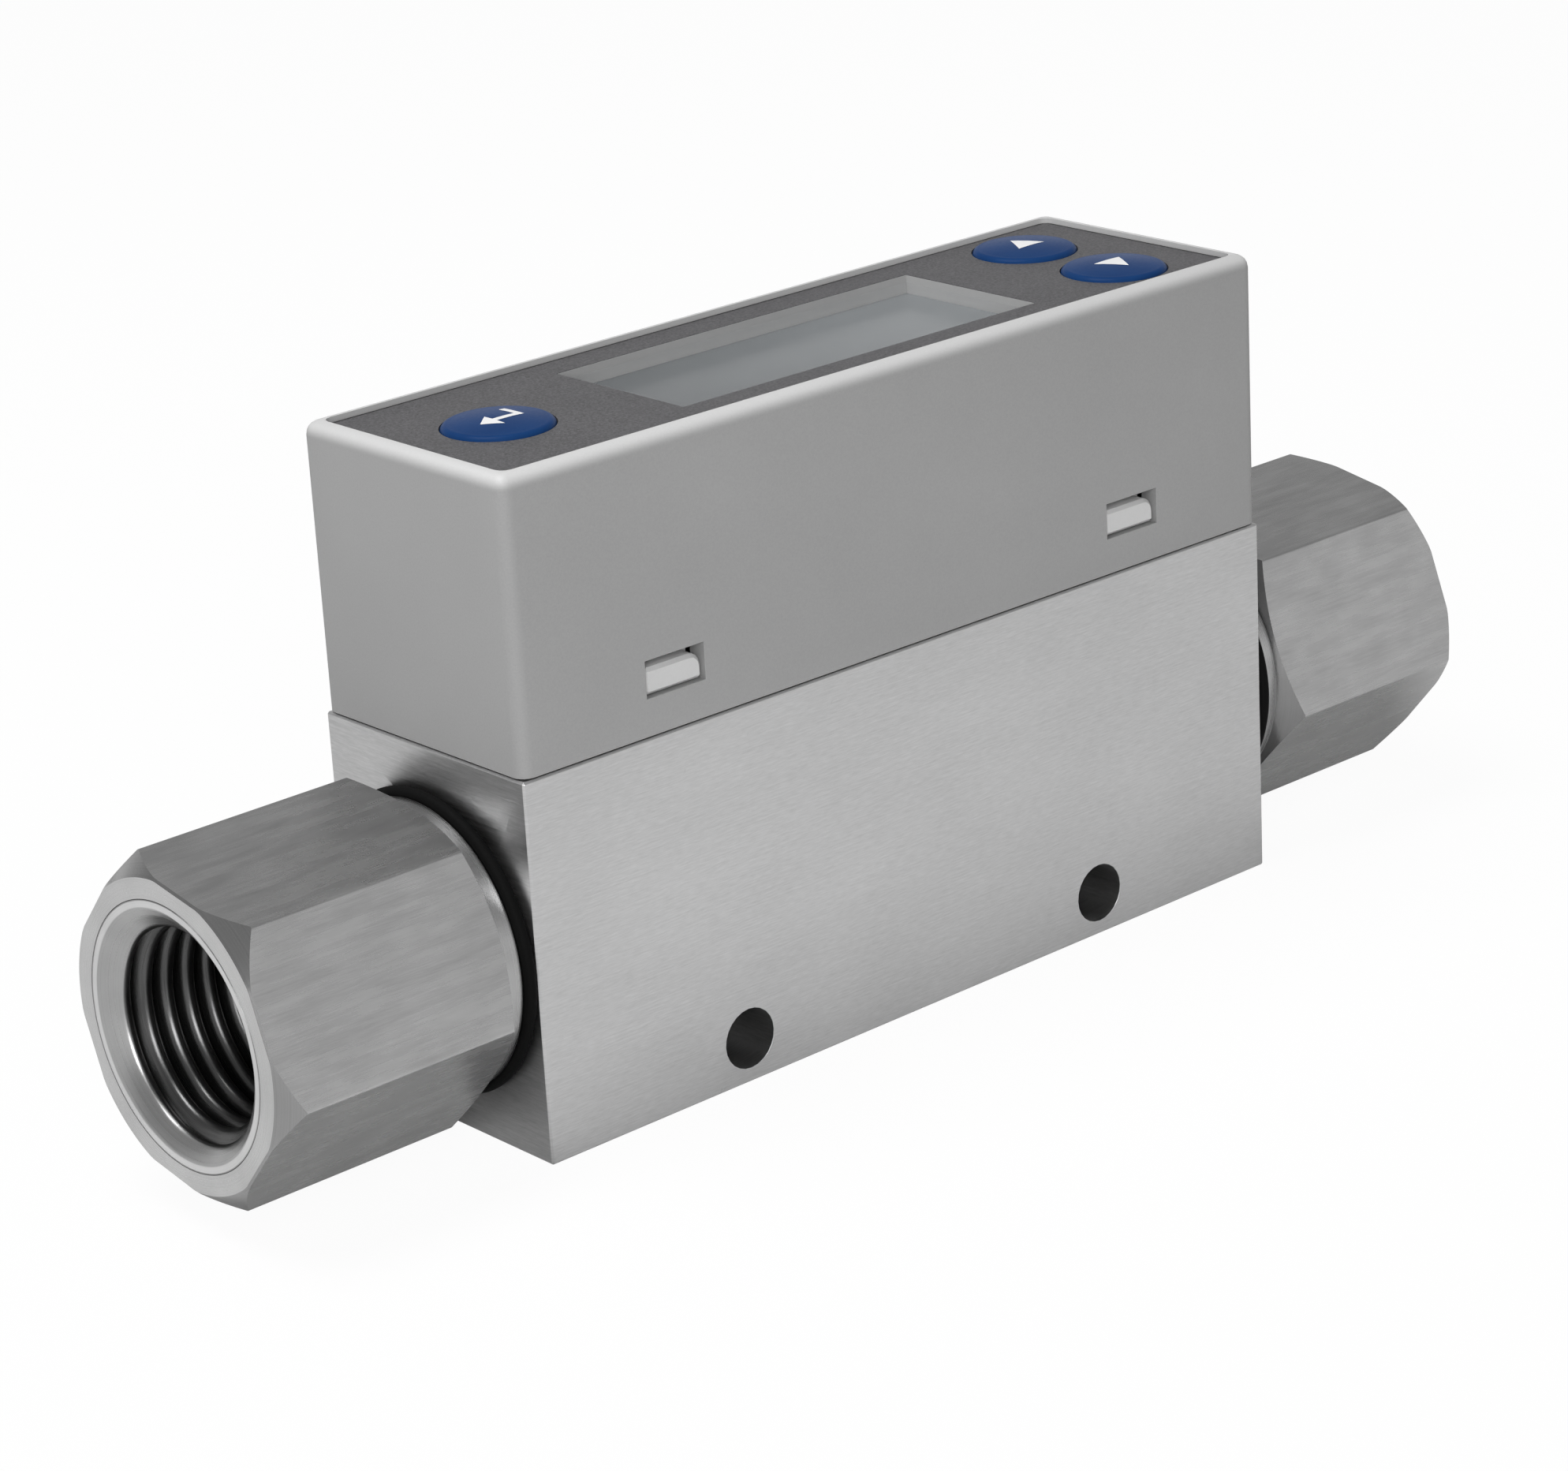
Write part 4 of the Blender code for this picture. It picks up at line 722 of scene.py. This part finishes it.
def thread_tree():
    tree = Tree("pipe_thread")
    major = tree.value("Major Radius", "Float", THREAD_MAJOR)
    minor = tree.value("Minor Radius", "Float", THREAD_MINOR)
    pitch = tree.value("Pitch", "Float", THREAD_PITCH)
    depth = tree.value("Depth", "Float", THREAD_DEPTH)
    mouth = tree.value("Mouth Radius", "Float", SINK_MOUTH)
    step = tree.value("Step Radius", "Float", SINK_STEP)
    step_depth = tree.value("Step Depth", "Float", SINK_STEP_DEPTH)
    start = tree.value("Start", "Float", THREAD_START)
    sides = tree.value("Sides", "Int", THREAD_COLUMNS)
    rows = tree.value("Rows", "Int", THREAD_ROWS + ROWS_PER_TURN + 1)
    material = tree.value("Material", "Material")
    grid = tree.node("GeometryNodeMeshGrid", None,
                     {"Size X": 1.0, "Size Y": 1.0, "Vertices X": sides, "Vertices Y": rows})
    place = tree.node("GeometryNodeInputPosition").outputs[0]
    parts = tree.node("ShaderNodeSeparateXYZ", None, {0: place}).outputs
    turn = tree.maths("ADD", parts[0], 0.5)
    rise = tree.maths("ADD", parts[1], 0.5)
    span = tree.maths("ADD", depth, pitch)
    along = tree.maths("SUBTRACT", tree.maths("MULTIPLY", rise, span), tree.maths("MULTIPLY", turn, pitch))
    inside = tree.maths("MINIMUM", tree.maths("MAXIMUM", along, 0.0), depth)
    turns = tree.maths("ADD", tree.maths("DIVIDE", inside, pitch), turn)
    cycle = tree.maths("FRACT", tree.maths("ADD", turns, start))
    wave = tree.maths("ABSOLUTE", tree.maths("SUBTRACT", tree.maths("MULTIPLY", cycle, 2.0), 1.0))
    flank = tree.node("ShaderNodeMapRange", None, {
        "Value": wave, "From Min": CREST_FLAT, "From Max": 1.0 - CREST_FLAT, "To Min": minor, "To Max": major,
    })
    opening = tree.node("ShaderNodeMapRange", None, {
        "Value": inside, "From Min": 0.0, "From Max": step_depth, "To Min": mouth, "To Max": step,
    })
    further = tree.maths("MAXIMUM", tree.maths("SUBTRACT", inside, step_depth), 0.0)
    cone = tree.maths("SUBTRACT", opening.outputs[0], tree.maths("MULTIPLY", further, SINK_SLOPE))
    radius = tree.maths("MAXIMUM", flank.outputs[0], cone)
    angle = tree.maths("MULTIPLY", turn, math.tau)
    y = tree.maths("MULTIPLY", radius, tree.maths("SINE", angle))
    z = tree.maths("MULTIPLY", radius, tree.maths("COSINE", angle))
    spot = tree.node("ShaderNodeCombineXYZ", None, {0: inside, 1: y, 2: z}).outputs[0]
    rolled = tree.node("GeometryNodeSetPosition", None, {"Geometry": grid.outputs["Mesh"], "Position": spot})
    joined = tree.node("GeometryNodeMergeByDistance", None,
                       {"Geometry": rolled.outputs[0], "Distance": SEAM_DISTANCE})
    return tree.finish(joined.outputs[0], material)


THREAD_TREE = thread_tree()
print("thread inputs:", ", ".join(THREAD_TREE.names))


# %% Two threaded sleeves
SLEEVE_WALL = 0.25 * MM
SLEEVE_RIM_DEPTH = 0.05 * MM
HAIR = 0.01 * MM


def run_tree(tree, name, values):
    """A new object with the tree on it, its inputs set by the sockets' identifiers."""
    working = bpy.data.objects.new(name, bpy.data.meshes.new(name))
    bpy.context.scene.collection.objects.link(working)
    modifier = working.modifiers.new("tree", "NODES")
    modifier.node_group = tree.tree
    for key, value in values.items():
        modifier[tree.names[key]] = value
    return working


def sleeve(name, side):
    """The thread with a wall behind it, whose outer rim is kept just under the fitting's face."""
    working = run_tree(THREAD_TREE, name, {"Material": THREAD_METAL})
    wall = working.modifiers.new("wall", "SOLIDIFY")
    wall.thickness = SLEEVE_WALL
    wall.offset = 1.0
    mesh = frozen(working, name)
    for vert in mesh.vertices:
        outside = math.hypot(vert.co.y, vert.co.z) > SINK_MOUTH + HAIR
        vert.co.x = max(vert.co.x, SLEEVE_RIM_DEPTH if outside else 0.0)
    face = Matrix.Translation((side * PORT_FACE, 0.0, AXIS_HEIGHT))
    turn = Matrix.Identity(4) if side < 0 else Matrix.Rotation(math.pi, 4, "Z")
    mesh.transform(face @ turn)
    mesh.shade_smooth()
    return mesh


for port, side in (("inlet", -1), ("outlet", 1)):
    mesh = sleeve(port + "_thread", side)
    add_piece(port + "_thread", mesh, "housing", THREAD_METAL)

# %% [markdown]
# ## Rubber rings
#
# A round-section ring sits between each fitting's collar and the block. It fills that gap but for a
# sliver. A circle of circles is all it takes.

# %% Rings
RING_SLIVER = 0.1 * MM


def ring_mesh(name, middle, reach, section):
    around, about = 144, 20
    bm = bmesh.new()
    loops = []
    for k in range(around):
        a = math.tau * k / around
        loop = []
        for j in range(about):
            b = math.tau * j / about
            radius = reach + section * math.cos(b)
            spot = Vector((section * math.sin(b), radius * math.sin(a), radius * math.cos(a)))
            loop.append(bm.verts.new(middle + spot))
        loops.append(loop)
    for k in range(around):
        for j in range(about):
            n, m = (k + 1) % around, (j + 1) % about
            bm.faces.new((loops[k][j], loops[n][j], loops[n][m], loops[k][m]))
    bmesh.ops.recalc_face_normals(bm, faces=bm.faces)
    mesh = bpy.data.meshes.new(name)
    bm.to_mesh(mesh)
    bm.free()
    mesh.shade_smooth()
    return mesh


for port in ("inlet", "outlet"):
    low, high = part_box(port + "_seal")
    section = (COLLAR_SPACE - RING_SLIVER) / 2
    middle = (low + high) / 2
    middle.x = math.copysign(HALF_LENGTH + COLLAR_SPACE / 2, middle.x)
    mesh = ring_mesh(port + "_ring", middle, (high.y - low.y) / 2 - section, section)
    add_piece(port + "_ring", mesh, "housing", PLAIN["seal_rubber"], [port + "_seal"])

# %% [markdown]
# ## The display window
#
# The window is a shallow tray. Its grey sides slope a very little, as moulded ones must, and the display's
# front glass lies at the bottom, close under the clear pane. The tray is a ring of four walls whose top is
# almost a knife edge, so that the film seems to end right at the opening. The two panes are plain slabs
# with a small bevel, which is enough for sheets this thin.

# %% Slabs and the sloped tray
def slab_mesh(name, low, high, bevel):
    bm = bmesh.new()
    bmesh.ops.create_cube(bm, size=1.0)
    for vert in bm.verts:
        vert.co = Vector([(l + h) / 2 + c * (h - l) for l, h, c in zip(low, high, vert.co)])
    bmesh.ops.bevel(bm, geom=bm.edges[:], offset=bevel, segments=2, profile=0.5, affect="EDGES")
    bmesh.ops.recalc_face_normals(bm, faces=bm.faces)
    mesh = bpy.data.meshes.new(name)
    bm.to_mesh(mesh)
    bm.free()
    return mesh


def tray_mesh(name, low, high, lip, foot):
    """Four walls round a window, thin as a lip at the top and as wide as a foot at the bottom."""
    bm = bmesh.new()
    rings = []
    for inset, height in ((0.0, low.z), (0.0, high.z), (lip, high.z), (foot, low.z)):
        x, y = (low.x + inset, high.x - inset), (low.y + inset, high.y - inset)
        rings.append([bm.verts.new((x[i], y[j], height)) for i, j in ((0, 0), (1, 0), (1, 1), (0, 1))])
    for k in range(4):
        for j in range(4):
            a, b = rings[k], rings[(k + 1) % 4]
            bm.faces.new((a[j], a[(j + 1) % 4], b[(j + 1) % 4], b[j]))
    bmesh.ops.recalc_face_normals(bm, faces=bm.faces)
    mesh = bpy.data.meshes.new(name)
    bm.to_mesh(mesh)
    bm.free()
    return mesh


LENS_BORDER = 0.8 * MM
lens_low, lens_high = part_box("window_lens")
border = Vector((LENS_BORDER, LENS_BORDER, 0.0))
window_low, window_high = lens_low + border, lens_high - border
print("window %.1f x %.1f mm" % tuple(c / MM for c in (window_high - window_low).xy))

# %% Tray, pane and front glass
TRAY_GAP = 0.02 * MM
TRAY_LIP = 0.03 * MM
TRAY_FOOT = 0.12 * MM
PANE_BEVEL = 0.03 * MM
FRONT_TOP = lens_low.z - 0.35 * MM
glass_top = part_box("display_glass")[1].z
tray_low = Vector((window_low.x + TRAY_GAP, window_low.y + TRAY_GAP, glass_top + TRAY_GAP))
tray_high = Vector((window_high.x - TRAY_GAP, window_high.y - TRAY_GAP, overlay_high.z - TRAY_GAP))
inside = Vector((TRAY_FOOT + TRAY_GAP, TRAY_FOOT + TRAY_GAP, 0.0))
tray = tray_mesh("window_tray", tray_low, tray_high, TRAY_LIP, TRAY_FOOT)
add_piece("window_tray", tray, "housing", PLAIN["window_border"])
front_low = tray_low + inside
front_high = Vector((tray_high.x, tray_high.y, FRONT_TOP)) - inside
front = slab_mesh("display_front", front_low, front_high, PANE_BEVEL)
add_piece("display_front", front, "housing", GLASS_GREY)
pane_low = Vector((tray_low.x, tray_low.y, lens_low.z)) + inside
pane_high = Vector((tray_high.x, tray_high.y, lens_high.z)) - inside
pane = slab_mesh("window_pane", pane_low, pane_high, PANE_BEVEL)
add_piece("window_pane", pane, "housing", LENS_PLASTIC, ["window_lens"])

# %% [markdown]
# ## The push keys
#
# A key is a shallow dome with a rounded shoulder, like a smooth pebble. Its outline is turned about the
# key's own axis, and below the shoulder its side runs straight down to the bottom of the imported key.

# %% Key caps
def turned_mesh(name, outline, middle):
    """An outline of (radius, height) that starts and ends on the axis, turned about Z."""
    sides = 96
    bm = bmesh.new()
    top = bm.verts.new((middle[0], middle[1], outline[0][1]))
    bottom = bm.verts.new((middle[0], middle[1], outline[-1][1]))
    rings = []
    for radius, height in outline[1:-1]:
        rings.append([
            bm.verts.new((
                middle[0] + radius * math.cos(math.tau * k / sides),
                middle[1] + radius * math.sin(math.tau * k / sides),
                height,
            ))
            for k in range(sides)
        ])
    for k in range(sides):
        n = (k + 1) % sides
        bm.faces.new((top, rings[0][k], rings[0][n]))
        bm.faces.new((bottom, rings[-1][n], rings[-1][k]))
        for upper, lower in zip(rings, rings[1:]):
            bm.faces.new((upper[k], lower[k], lower[n], upper[n]))
    bmesh.ops.recalc_face_normals(bm, faces=bm.faces)
    mesh = bpy.data.meshes.new(name)
    bm.to_mesh(mesh)
    bm.free()
    mesh.shade_smooth()
    return mesh


KEY_RADIUS = 3.1 * MM
SHOULDER = 0.4 * MM
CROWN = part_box("mode_key")[1].z
KEY_DROP = 0.27 * MM


def dome_height(distance):
    """The key's top at a distance from its axis, before the shoulder rounds it off."""
    return CROWN - KEY_DROP * (distance / KEY_RADIUS) ** 2


def key_outline(base):
    """From the crown over the shoulder, down the side and back to the axis."""
    inner = KEY_RADIUS - SHOULDER
    dome_steps, shoulder_steps = 14, 10
    outline = [(0.0, CROWN)]
    for k in range(1, dome_steps + 1):
        distance = inner * k / dome_steps
        outline.append((distance, dome_height(distance)))
    centre = dome_height(inner) - SHOULDER
    for k in range(1, shoulder_steps):
        a = math.radians(90.0 - 90.0 * k / shoulder_steps)
        outline.append((inner + SHOULDER * math.cos(a), centre + SHOULDER * math.sin(a)))
    outline.append((KEY_RADIUS, centre))
    outline.append((KEY_RADIUS, base))
    outline.append((0.0, base))
    return outline


KEY_SPOTS = {}
for key in ("mode", "up", "down"):
    low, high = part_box(key + "_key")
    middle = (low + high) / 2
    KEY_SPOTS[key] = middle
    mesh = turned_mesh(key + "_cap", key_outline(low.z), middle)
    add_piece(key + "_cap", mesh, key + "_key", KEY_PLASTIC, [key + "_key"])

# %% [markdown]
# ## Printed signs on the keys
#
# The signs are plain and generic: arrowheads for up and down, and a hooked arrow for the third key. Each
# one is drawn as a flat outline, cut into small triangles, and laid on the dome a hair above it, so
# that it curves with the key like real print.

# %% Flat signs laid on a dome
SIGN_LIFT = 0.012 * MM
SIGN_EDGE = 0.15 * MM
SIGN_MERGE = 0.0001 * MM


def sign_mesh(name, outline, middle):
    curve = bpy.data.curves.new(name, "CURVE")
    curve.dimensions = "2D"
    curve.fill_mode = "BOTH"
    spline = curve.splines.new("POLY")
    spline.points.add(len(outline) - 1)
    for point, (x, y) in zip(spline.points, outline):
        point.co = (x, y, 0.0, 1.0)
    spline.use_cyclic_u = True
    working = bpy.data.objects.new(name, curve)
    bpy.context.scene.collection.objects.link(working)
    mesh = frozen(working, name)
    bpy.data.curves.remove(curve)
    bm = bmesh.new()
    bm.from_mesh(mesh)
    bmesh.ops.remove_doubles(bm, verts=bm.verts, dist=SIGN_MERGE)
    for _ in range(4):
        long_edges = [e for e in bm.edges if e.calc_length() > SIGN_EDGE]
        if long_edges:
            bmesh.ops.subdivide_edges(bm, edges=long_edges, cuts=1)
            bmesh.ops.triangulate(bm, faces=bm.faces)
    for vert in bm.verts:
        distance = math.hypot(vert.co.x, vert.co.y)
        vert.co = (middle[0] + vert.co.x, middle[1] + vert.co.y, dome_height(distance) + SIGN_LIFT)
    bmesh.ops.recalc_face_normals(bm, faces=bm.faces)
    if sum(face.normal.z for face in bm.faces) < 0:
        bmesh.ops.reverse_faces(bm, faces=bm.faces)
    bm.to_mesh(mesh)
    bm.free()
    mesh.shade_smooth()
    return mesh


def arrowhead(size, up):
    """A triangle that points towards the back of the meter, or towards the front."""
    angles = [math.radians(up * 90.0 + 120.0 * k) for k in range(3)]
    return [(size * math.cos(a), size * math.sin(a)) for a in angles]


print("dome drops %.2f mm at the key's edge" % (KEY_DROP / MM))


# %% The hooked arrow
def hooked_arrow(size):
    """An arrow that comes down, turns a corner and points back along X, as one outline."""
    stroke = size * 0.28
    level = -size * 0.2
    neck = -size * 0.3
    return [
        (size, size * 0.85),
        (size - stroke, size * 0.85),
        (size - stroke, level + stroke / 2),
        (neck, level + stroke / 2),
        (neck, level + size * 0.62),
        (-size, level),
        (neck, level - size * 0.62),
        (neck, level - stroke / 2),
        (size, level - stroke / 2),
    ]


HOOK_SIZE = 1.4 * MM
ARROW_SIZE = 1.2 * MM
SIGNS = {"mode": hooked_arrow(HOOK_SIZE), "up": arrowhead(ARROW_SIZE, 1), "down": arrowhead(ARROW_SIZE, -1)}
for key, outline in SIGNS.items():
    mesh = sign_mesh(key + "_sign", outline, KEY_SPOTS[key])
    add_piece(key + "_sign", mesh, key + "_key", PLAIN["print_white"])

# %% [markdown]
# ## The studio
#
# The background is white, but that is done with colour and not with more light. The floor is a pale grey
# that the lamps light, and only what the camera sees of it is turned to white, so it keeps a hint of
# shadow. The world is white to the camera too. In mirrors it is white near the horizon and darker
# overhead, so that metal shows a change of tone where it curves, and to everything else it gives only a
# plain level of light. Two large soft lamps model the shape. The one overhead hangs a little behind the
# meter, so that the front of the block grows darker towards its foot.

# %% Floor and world
WHITE = (1.0, 1.0, 1.0, 1.0)
FLOOR_GREY = (0.82, 0.82, 0.82, 1.0)
FLOOR_REACH = 1.5
SEEN_WHITE = 0.95
MIRRORED_WHITE = 0.02


def studio_floor():
    bm = bmesh.new()
    bmesh.ops.create_grid(bm, x_segments=2, y_segments=2, size=FLOOR_REACH)
    mesh = bpy.data.meshes.new("floor")
    bm.to_mesh(mesh)
    bm.free()
    floor = bpy.data.objects.new("floor", mesh)
    bpy.context.scene.collection.objects.link(floor)
    finish = Finish("floor_white", roughness=0.9)
    finish.set({"Base Color": FLOOR_GREY})
    path = finish.node("ShaderNodeLightPath").outputs
    camera = Signal(finish, path["Is Camera Ray"])
    mirrored = Signal(finish, path["Is Glossy Ray"])
    through = Signal(finish, path["Is Transmission Ray"])
    glow = finish.node("ShaderNodeEmission", None, {"Color": WHITE})
    mix = finish.node("ShaderNodeMixShader")
    finish.feed(mix.inputs[0], camera * SEEN_WHITE + through * SEEN_WHITE + mirrored * MIRRORED_WHITE)
    finish.tree.links.new(finish.shader.outputs[0], mix.inputs[1])
    finish.tree.links.new(glow.outputs[0], mix.inputs[2])
    output = next(n for n in finish.tree.nodes if n.type == "OUTPUT_MATERIAL")
    finish.tree.links.new(mix.outputs[0], output.inputs["Surface"])
    mesh.materials.append(finish.material)


studio_floor()


def studio_world(level, overhead):
    """White to look at, darker overhead in mirrors, and plain light for the rest."""
    world = bpy.data.worlds.new("studio")
    bpy.context.scene.world = world
    world.use_nodes = True
    sky = Finish.__new__(Finish)  # only the node helpers: a world has no Principled shader
    sky.tree = world.node_tree
    path = sky.node("ShaderNodeLightPath").outputs
    camera = Signal(sky, path["Is Camera Ray"])
    mirrored = (Signal(sky, path["Is Glossy Ray"]) + Signal(sky, path["Is Transmission Ray"])).above(0.5, 0.1)
    direction = Signal(sky, sky.node("ShaderNodeTexCoord").outputs["Generated"])
    height = Signal(sky, sky.node("ShaderNodeSeparateXYZ", None, {0: direction}).outputs[2])
    mirror_level = 1.0 - height.above(0.22, 0.2) * (1.0 - overhead)
    unseen = (1.0 - camera) * (1.0 - mirrored)
    background = next(n for n in sky.tree.nodes if n.type == "BACKGROUND")
    background.inputs["Color"].default_value = WHITE
    strength = camera + (1.0 - camera) * mirrored * mirror_level + unseen * level
    sky.feed(background.inputs["Strength"], strength)


studio_world(level=0.2, overhead=0.42)
print("studio ready")


# %% Lamps
def lamp(name, place, aim, size, power):
    data = bpy.data.lights.new(name, "AREA")
    data.shape = "DISK"
    data.size = size
    data.energy = power
    obj = bpy.data.objects.new(name, data)
    bpy.context.scene.collection.objects.link(obj)
    obj.location = place
    obj.rotation_mode = "QUATERNION"
    obj.rotation_quaternion = (Vector(aim) - Vector(place)).to_track_quat("-Z", "Y")


MIDDLE = (0.0, 0.0, 0.02)
lamp("overhead_lamp", (-0.12, 0.07, 0.47), MIDDLE, size=0.28, power=1.75)
lamp("front_lamp", (-0.51, -0.63, 0.36), MIDDLE, size=0.5, power=4.25)

# %% [markdown]
# ## The camera
#
# The view was found by fitting a camera to the block's edges, the display, the holes and the hexagon's
# corners. It is a long lens, about 100 mm, a quarter of a metre away and a little above the meter.

# %% Camera
camera_data = bpy.data.cameras.new("camera")
camera_data.lens = 102.045
camera_data.sensor_width = 36.0
camera_data.clip_start = 0.01
camera_data.clip_end = 10.0
camera = bpy.data.objects.new("camera", camera_data)
camera.location = (-0.158131, -0.179007, 0.102555)
camera.rotation_euler = [math.radians(a) for a in (69.7328, 3.0296, -42.0901)]
bpy.context.scene.collection.objects.link(camera)
bpy.context.scene.camera = camera
bpy.context.scene.view_settings.view_transform = "Standard"
